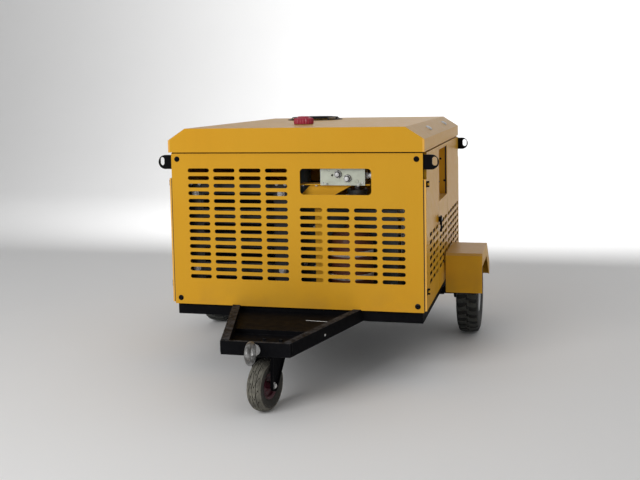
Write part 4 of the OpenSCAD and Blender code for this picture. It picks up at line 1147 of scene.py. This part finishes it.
def motor_details():
    """The motor's end-shield bolts, terminal box lid, glands, lifting eye and foot bolts."""
    low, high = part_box("electric_motor")
    shaft = joints["motor_spin"]["pos_m"]
    y, z = shaft[1], shaft[2]
    mesh = bmesh.new()
    front = Vector((high.x, y, z))
    bolt_ring(mesh, front, X, 0.168, 8, 0.013, math.pi / 8)
    box_x = (low.x + 0.260, low.x + 0.440)
    for x in (box_x[0] + 0.014, box_x[1] - 0.014):
        for dy in (-0.076, 0.076):
            button_head(mesh, Vector((x, y + dy, high.z + 0.0001)), Z, 0.0052, 0.0034)
    eye = Vector((high.x - 0.060, y, z + 0.183))
    solid_lathe(mesh, [(0.014, -0.002), (0.014, 0.004), (0.008, 0.008), (0.008, 0.014)], eye, Z, 28)
    tube(mesh, circle_points(eye + Z * 0.0285, X, 0.0165, 48), 0.0052, 12, closed=True)
    feet_z = low.z
    for x in (low.x + 0.200, low.x + 0.510):
        for dy in (-0.128, 0.128):
            solid_lathe(mesh, [(0.0110, 0.0), (0.0110, 0.004)], Vector((x, y + dy * 1.235, feet_z)),
                        Z, 20)
    piece("motor_hardware", mesh, "zinc")
    mesh = bmesh.new()
    lid = [(-0.088, -0.088), (0.088, -0.088), (0.088, 0.088), (-0.088, 0.088)]
    mid_x = (box_x[0] + box_x[1]) / 2
    prism(mesh, lid, -0.008, 0.0, lambda a, b, c: Vector((mid_x + a, y + b * 1.02, high.z + c)))
    for dx in (-0.040, 0.040):
        gland = Vector((mid_x + dx, y + 0.090, high.z - 0.034))
        solid_lathe(mesh, [(0.014, -0.002), (0.014, 0.006), (0.0115, 0.007), (0.0125, 0.009),
                           (0.0125, 0.022),
                           (0.009, 0.026)], gland, Y, 24)
    piece("terminal_box_lid", mesh, "grey_machine", bevel=0.0012)


def pump_details():
    """Flange bolts on the bellhousing and the pump, and the ring of bolts on the pump's end."""
    low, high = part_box("bellhousing")
    shaft = joints["motor_spin"]["pos_m"]
    mesh = bmesh.new()
    bolt_ring(mesh, Vector((low.x + 0.014, shaft[1], shaft[2])), X, 0.134, 8, 0.013, 0.2)
    bolt_ring(mesh, Vector((high.x + 0.018, shaft[1], shaft[2])), X, 0.0865, 4, 0.011, math.pi / 4)
    pump_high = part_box("hydraulic_pump")[1]
    bolt_ring(mesh, Vector((pump_high.x, shaft[1], shaft[2])), X, 0.066, 6, 0.011, 0.3)
    piece("pump_bolts", mesh, "zinc")


def controls():
    """Face plate with screws and bezels round the buttons and the switch; shaped buttons."""
    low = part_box("control_box")[0]
    spots = {}
    for node in ("emergency_stop", "start_button", "stop_button", "main_switch"):
        a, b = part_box(node)
        spots[node] = ((a + b) / 2, a, b)
    face = spots["start_button"][1].x + 0.014
    y0 = min(s[1].y for s in spots.values()) - 0.040
    y1 = max(s[2].y for s in spots.values()) + 0.034
    z0 = spots["main_switch"][1].z - 0.026
    z1 = spots["start_button"][2].z + 0.044
    mesh = bmesh.new()
    outline = []
    for cy, cz, first in ((y1 - 0.008, z1 - 0.008, 0), (y0 + 0.008, z1 - 0.008, 90),
                          (y0 + 0.008, z0 + 0.008, 180),
                          (y1 - 0.008, z0 + 0.008, 270)):
        for k in range(6):
            a = math.radians(first + 18 * k)
            outline.append((cy + 0.008 * math.cos(a), cz + 0.008 * math.sin(a)))
    prism(mesh, outline, face + 0.0002, face + 0.0022, lambda a, b, c: Vector((c, a, b)))
    piece("control_face_plate", mesh, "rim_silver", bevel=0.0005)
    mesh = bmesh.new()
    for y in (y0 + 0.010, y1 - 0.010):
        for z in (z0 + 0.010, z1 - 0.010):
            button_head(mesh, Vector((face + 0.0022, y, z)), X, 0.0046, 0.0030)
    for node, r_in, r_out in (("start_button", 0.0115, 0.0162), ("stop_button", 0.0115, 0.0162),
                              ("emergency_stop", 0.0115, 0.0162)):
        at = spots[node][0]
        profile = [(r_in, 0.0018), (r_out, 0.0018), (r_out, 0.0052), (r_out - 0.0014, 0.0066),
                   (r_in, 0.0066)]
        lathe(mesh, profile, Vector((face, at.y, at.z)), X, 48)
    piece("control_bezels", mesh, "zinc")
    mesh = bmesh.new()
    at = spots["main_switch"][0]
    lathe(mesh, [(0.0208, 0.0018), (0.0272, 0.0018), (0.0272, 0.0046), (0.0262, 0.0056),
                 (0.0208, 0.0056)],
          Vector((face, at.y, at.z)), X, 64)
    for y in (low.y + 0.050, low.y + 0.095):
        solid_lathe(mesh, [(0.0105, -0.0004), (0.0105, 0.004), (0.0092, 0.0056), (0.0070, 0.0060)],
                    Vector((face, y, z0 + 0.050)), X, 32)
    piece("switch_bezels", mesh, "switch_black")
    for node, slot in (("start_button", "button_green"), ("stop_button", "button_red")):
        mid, a, b = spots[node]
        long = b.x - a.x
        mesh = bmesh.new()
        solid_lathe(mesh, [(0.0110, 0.0), (0.0110, long - 0.0030), (0.0104, long - 0.0010),
                           (0.0092, long),
                           (0.0062, long - 0.0007)], Vector((a.x, mid.y, mid.z)), X, 48)
        piece(node + "_cap", mesh, slot, node, replaces=(node,))
    mid, a, b = spots["emergency_stop"]
    long = b.x - a.x
    mesh = bmesh.new()
    solid_lathe(mesh, [(0.0110, 0.0), (0.0110, long - 0.0145), (0.0168, long - 0.0138),
                       (0.0192, long - 0.0115),
                       (0.0200, long - 0.0080), (0.0193, long - 0.0048), (0.0165, long - 0.0020),
                       (0.0115, long - 0.0004), (0.0050, long)], Vector((a.x, mid.y, mid.z)), X, 64)
    piece("emergency_stop_head", mesh, "button_red", "emergency_stop", smooth=50.0,
          replaces=("emergency_stop",))


def door_hardware():
    """Screws on the hinge leaves and key barrels on the latches."""
    mesh = bmesh.new()
    for low, high in islands("door_hinges"):
        side = 1 if low.x > 0 else -1
        face = (low.x if side > 0 else high.x) + side * 0.003
        for z in (low.z + 0.0065, high.z - 0.0065):
            button_head(mesh, Vector((face, low.y + 0.0062, z)), X * side, 0.0036, 0.0022)
    piece("hinge_screws", mesh, "black_paint")
    for name in ("left", "right"):
        mesh = bmesh.new()
        joint = joints[f"latch_{name}_turn"]
        side = 1 if name == "right" else -1
        low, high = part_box(f"door_latch_{name}")
        face = high.x if side > 0 else low.x
        at = Vector((face, joint["pos_m"][1], joint["pos_m"][2]))
        solid_lathe(mesh, [(0.0072, -0.002), (0.0072, 0.0006), (0.0064, 0.0012), (0.0044, 0.0012),
                           (0.0042, 0.0004)],
                    at, X * side, 32)
        piece(f"latch_barrel_{name}", mesh, "zinc", f"latch_{name}")


def cable_gland():
    """Ribbed plastic gland nut over the mains cable inlet."""
    mount = next(m for m in record["mounts"] if m["name"] == "cable_gland")
    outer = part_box("side_panels_left")[0].x
    centre = Vector((outer, mount["pos_m"][1], mount["pos_m"][2]))
    mesh = bmesh.new()
    rows = [(0.0144, 0.0), (0.0172, -0.0002), (0.0204, -0.0030), (0.0214, -0.0090),
            (0.0214, -0.0195), (0.0205, -0.0200)]
    rings = []
    for a in turns(96):
        grip = 0.0012 * (0.5 + 0.5 * math.cos(a * 16))
        ring = []
        for i, (r, h) in enumerate(rows):
            out = polar(r + (grip if 2 <= i <= 4 else 0.0), a)
            ring.append(mesh.verts.new(centre + Vector((-h, out.x, out.y))))
        rings.append(ring)
    bridge(mesh, rings, round_rows=True, round_points=True)
    piece("cable_gland_nut", mesh, "switch_black")


def fan_rotor():
    """Axial fan with five cambered, twisted blades on a domed hub."""
    low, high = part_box("roof_fan")
    pivot = Vector(joints["roof_fan_spin"]["pos_m"])
    low_z, high_z = low.z, high.z
    mid_z = (low_z + high_z) / 2
    centre = Vector((pivot.x, pivot.y, 0))
    mesh = bmesh.new()
    solid_lathe(mesh, [(0.0062, low_z + 0.0005), (0.0405, low_z + 0.0005), (0.0418, low_z + 0.0025),
                       (0.0418, high_z - 0.010), (0.0385, high_z - 0.004), (0.030, high_z - 0.0008),
                       (0.015, high_z)], centre, Z, 64)
    steps = 9
    for first in turns(5):
        top, bottom = [], []
        for i in range(steps + 1):
            s = i / steps
            r = 0.038 + s * 0.0875
            pitch = math.radians(36 - 18 * s)
            span = 0.046 + 0.018 * s
            row_top, row_bottom = [], []
            for j in range(steps + 1):
                c = j / steps - 0.5
                bulge = 1 - 4 * c * c
                thick = 0.0010 + 0.0012 * bulge
                across = c * span
                rise = across * math.sin(pitch) + 0.005 * bulge
                angle = first + (across * math.cos(pitch) + 0.012 * s * s) / r
                z = mid_z + max(-0.0145, min(0.0140, rise))
                row_top.append(mesh.verts.new(centre + polar(r, angle, z + thick)))
                row_bottom.append(mesh.verts.new(centre + polar(r, angle, z - thick)))
            top.append(row_top)
            bottom.append(row_bottom)
        faces = mesh.faces
        for i in range(len(top) - 1):
            for j in range(steps):
                faces.new((top[i][j], top[i + 1][j], top[i + 1][j + 1], top[i][j + 1]))
                faces.new((bottom[i][j], bottom[i][j + 1],
                           bottom[i + 1][j + 1], bottom[i + 1][j]))
            faces.new((top[i][0], bottom[i][0], bottom[i + 1][0], top[i + 1][0]))
            faces.new((top[i][-1], top[i + 1][-1], bottom[i + 1][-1], bottom[i][-1]))
        for j in range(steps):
            faces.new((top[0][j], top[0][j + 1], bottom[0][j + 1], bottom[0][j]))
            faces.new((top[-1][j], bottom[-1][j], bottom[-1][j + 1], top[-1][j + 1]))
    piece("cambered_fan", mesh, "fan_black", "roof_fan", replaces=("roof_fan",))


def neck_collar():
    """Rubber collar between the roof and the filler neck."""
    neck = joints["filler_cap_turn"]["pos_m"]
    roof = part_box("filler_cap")[0].z - 0.0005
    mesh = bmesh.new()
    profile = [(0.0305, -0.004), (0.0338, -0.004), (0.0338, 0.0002), (0.0338, 0.0002),
               (0.0304, 0.0003)]
    lathe(mesh, profile, Vector((neck[0], neck[1], roof)), Z, 64)
    piece("neck_grommet", mesh, "tyre_black", smooth=50.0)


manifold_details()
hose_ferrules()
cooler_fins()
tank_details()
filter_and_accumulator()
motor_details()
pump_details()
controls()
door_hardware()
cable_gland()
fan_rotor()
neck_collar()


# ---- welds ---------------------------------------------------------------------------------

def weld_beads():
    """Beads on the drawbar, its deck, the frame, the axle and the lugs."""
    mesh = bmesh.new()
    low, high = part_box("drawbar_frame")
    frame_low, frame_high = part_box("base_frame")
    corners = [v.co for v in nodes["drawbar_frame"].data.vertices if v.co.y < low.y + 0.001]
    nose_x = max(c.x for c in corners)
    slope = (high.x - nose_x) / (high.y - low.y)
    joint_y = low.y + 0.016
    joint_x = nose_x + slope * 0.016
    for side in (-1, 1):
        weld(mesh, (side * (joint_x + 0.0005), joint_y, low.z + 0.003),
             (side * (joint_x + 0.0005), joint_y, high.z - 0.003))
        weld(mesh, (side * (joint_x - 0.036), joint_y, high.z),
             (side * (joint_x - 0.001), joint_y, high.z), 0.0028)
        weld(mesh, (side * (high.x - 0.004), frame_low.y, low.z + 0.003),
             (side * (high.x - 0.004), frame_low.y, high.z - 0.003), 0.004)
        for dy in (-0.040, 0.040):
            axle = middle("axle_beam")
            weld(mesh, (side * (frame_high.x - 0.055), axle.y + dy, frame_low.z),
                 (side * (frame_high.x - 0.005), axle.y + dy, frame_low.z))
    for lug_low, lug_high in islands("lifting_lugs"):
        inner = lug_low.x if lug_low.x > 0 else lug_high.x
        y = lug_low.y if lug_low.y < 0 else lug_high.y
        weld(mesh, (inner, y, lug_low.z + 0.002), (inner, y, lug_high.z - 0.002), 0.003)
    piece("weld_beads", mesh, "black_paint", smooth=60.0)
    deck_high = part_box("caster_bracket")[1]
    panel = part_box("front_panel")[0].y
    mesh = bmesh.new()
    # the thin bright bead across the deck is partly a painted highlight, where a light line shows along it; the
    # screw head sits on the right arm
    weld(mesh, (0.086, panel - 0.131, deck_high.z + 0.0004),
         (0.196, panel - 0.141, deck_high.z + 0.0004), 0.0013)
    arm_y = panel - 0.348
    arm_x = nose_x + slope * (arm_y - low.y)
    out = Vector((1, -slope, 0)).normalized()
    button_head(mesh, Vector((arm_x, arm_y, (low.z + high.z) / 2 - 0.006)), out, 0.0055, 0.0035)
    piece("highlight_bead_and_screw", mesh, "zinc", smooth=50.0)


weld_beads()


def filter_mat():
    """Pleated intake filter behind the rear panel's slots."""
    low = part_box("rear_panel")[0]
    mesh = bmesh.new()
    face = low.y - 0.003
    rows = []
    pleats, width = 168, 1.120
    for i in range(pleats + 1):
        x = -width / 2 + width * i / pleats
        y = face - (0.0095 if i % 2 else 0.0025)
        rows.append([mesh.verts.new((x, y, z)) for z in (low.z + 0.016, low.z + 0.330)])
    for a, b in zip(rows, rows[1:]):
        mesh.faces.new((a[0], b[0], b[1], a[1]))
    frame_rim = [(-0.566, low.z + 0.010), (0.566, low.z + 0.010), (0.566, low.z + 0.336),
                 (-0.566, low.z + 0.336)]
    corners = [Vector((x, face - 0.006, z)) for x, z in frame_rim]
    for a, b in zip(corners, corners[1:] + corners[:1]):
        tube(mesh, [a + (b - a) * k / 8 for k in range(9)], 0.0045, 8)
    piece("intake_filter_mat", mesh, "fan_black", smooth=20.0)


filter_mat()


def dark_edge_strips():
    """Dark strips: beside the front panel, a painted shadow line along each side edge; down the recess's rear
    edge, a dark line; and the screws on that jamb.
    """
    trim_low, trim_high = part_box("corner_trims")
    panel_low, panel_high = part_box("front_panel")
    mesh = bmesh.new()
    # painted shadow: a dark strip along each side edge of the front panel stands for the shadow line there
    for side in (-1, 1):
        x0, x1 = sorted((side * (panel_high.x + 0.0001), side * (panel_high.x + 0.0046)))
        outline = [(x0, panel_high.y - 0.0002), (x1, panel_high.y - 0.0002),
                   (x1 - 0.0006, panel_low.y + 0.0012),
                   (x0 + 0.0006, panel_low.y + 0.0012)]
        prism(mesh, outline, trim_low.z + 0.002, min(trim_high.z, panel_high.z) - 0.002, lambda a,
              b, c: (a, b, c))
    box_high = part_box("control_box")[1]
    jamb = box_high.y - 0.002
    outline = [(box_high.x - 0.0075, jamb), (box_high.x - 0.0072, jamb - 0.0034),
               (box_high.x - 0.0008, jamb - 0.0034),
               (box_high.x - 0.0004, jamb)]
    prism(mesh, outline, box_high.z - 0.270, box_high.z - 0.004, lambda a, b, c: (a, b, c))
    piece("dark_edge_strips", mesh, "hose_rubber", smooth=30.0)
    mesh = bmesh.new()
    for dx, dz in ((0.033, 0.074), (0.043, 0.203), (0.012, 0.196)):
        button_head(mesh, Vector((box_high.x - dx, jamb, box_high.z - 0.002 - dz)), -Y, 0.0058,
                    0.0036)
    piece("jamb_screws", mesh, "black_paint")


dark_edge_strips()


# ---- floor, light, camera ------------------------------------------------------------------

def stage_material(name, color):
    s = Shade(name)
    shade = s.mix(s.level(s.noise(0.7, 3), 0.3, 0.7), color, tinted(color, 0.985))
    return s.finish(shade, 0.75, specular=0.2)


def studio():
    """A floor that sweeps up behind the object, soft lights round it and an even sky."""
    near, sweep_from, sweep_radius, top, half_width = -12.0, 7.0, 4.0, 12.0, 16.0
    sweep_steps, gap = 12, 0.0005
    mesh = bmesh.new()
    rows = [(near, 0.0), (sweep_from, 0.0)]
    for k in range(1, sweep_steps + 1):
        a = math.radians(90 * k / sweep_steps)
        rows.append((sweep_from + sweep_radius * math.sin(a),
                     sweep_radius - sweep_radius * math.cos(a)))
    rows.append((sweep_from + sweep_radius, top))
    lines = [[mesh.verts.new((x, y, z - gap)) for x in (-half_width, half_width)] for y, z in rows]
    for a, b in zip(lines, lines[1:]):
        mesh.faces.new((a[0], a[1], b[1], b[0]))
    data = bpy.data.meshes.new("studio_floor")
    mesh.to_mesh(data)
    mesh.free()
    floor = in_scene("studio_floor", data)
    data.materials.append(stage_material("pale_floor", (0.86, 0.86, 0.86)))
    data.shade_smooth()

    world = bpy.data.worlds.new("even_sky")
    bpy.context.scene.world = world
    world.use_nodes = True
    sky = world.node_tree.nodes["Background"].inputs
    sky["Color"].default_value = (1.0, 1.0, 1.0, 1.0)
    sky["Strength"].default_value = 0.36

    soft_light("key", (-2.2, -5.6, 3.2), (0, -0.3, 0.7), 3.2, 200)
    soft_light("fill", (4.6, -4.0, 3.0), (0, 0, 0.5), 3.4, 11)
    soft_light("top", (0.0, 0.6, 5.2), (0, 0.2, 0.5), 4.0, 17)
    soft_light("backdrop", (0.0, 4.2, 4.4), (0, 10.0, 2.4), 6.0, 480)


def soft_light(name, place, target, size, power):
    lamp = bpy.data.lights.new(name, "AREA")
    lamp.size = size
    lamp.energy = power
    thing = in_scene(name, lamp)
    thing.location = place
    thing.rotation_euler = (Vector(target) - Vector(place)).to_track_quat("-Z", "Y").to_euler()


def camera():
    """A long lens at eye height, to the right of the drawbar, looking back along the unit."""
    lens = bpy.data.cameras.new("camera")
    lens.lens = 51.8
    lens.sensor_width = 36.0
    lens.shift_y = -0.110
    thing = in_scene("camera", lens)
    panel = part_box("front_panel")[0].y
    turn, down, roll = math.radians(14.25), math.radians(4.84), math.radians(-1.09)
    ahead = Vector((-math.sin(turn) * math.cos(down), math.cos(turn) * math.cos(down),
                    -math.sin(down)))
    right = Vector((math.cos(turn), math.sin(turn), 0))
    up = right.cross(ahead)
    level_right, level_up = right, up
    right = level_right * math.cos(roll) + level_up * math.sin(roll)
    up = level_up * math.cos(roll) - level_right * math.sin(roll)
    to_the_right, in_front, eye_height = 1.218, 4.263, 1.388
    thing.matrix_world = Matrix.Translation((to_the_right, panel - in_front, eye_height)) @ Matrix(
        (right, up, -ahead)).transposed().to_4x4()
    lens.clip_start, lens.clip_end = 0.1, 60.0
    bpy.context.scene.camera = thing


studio()
camera()
bpy.context.scene.view_settings.view_transform = "Standard"
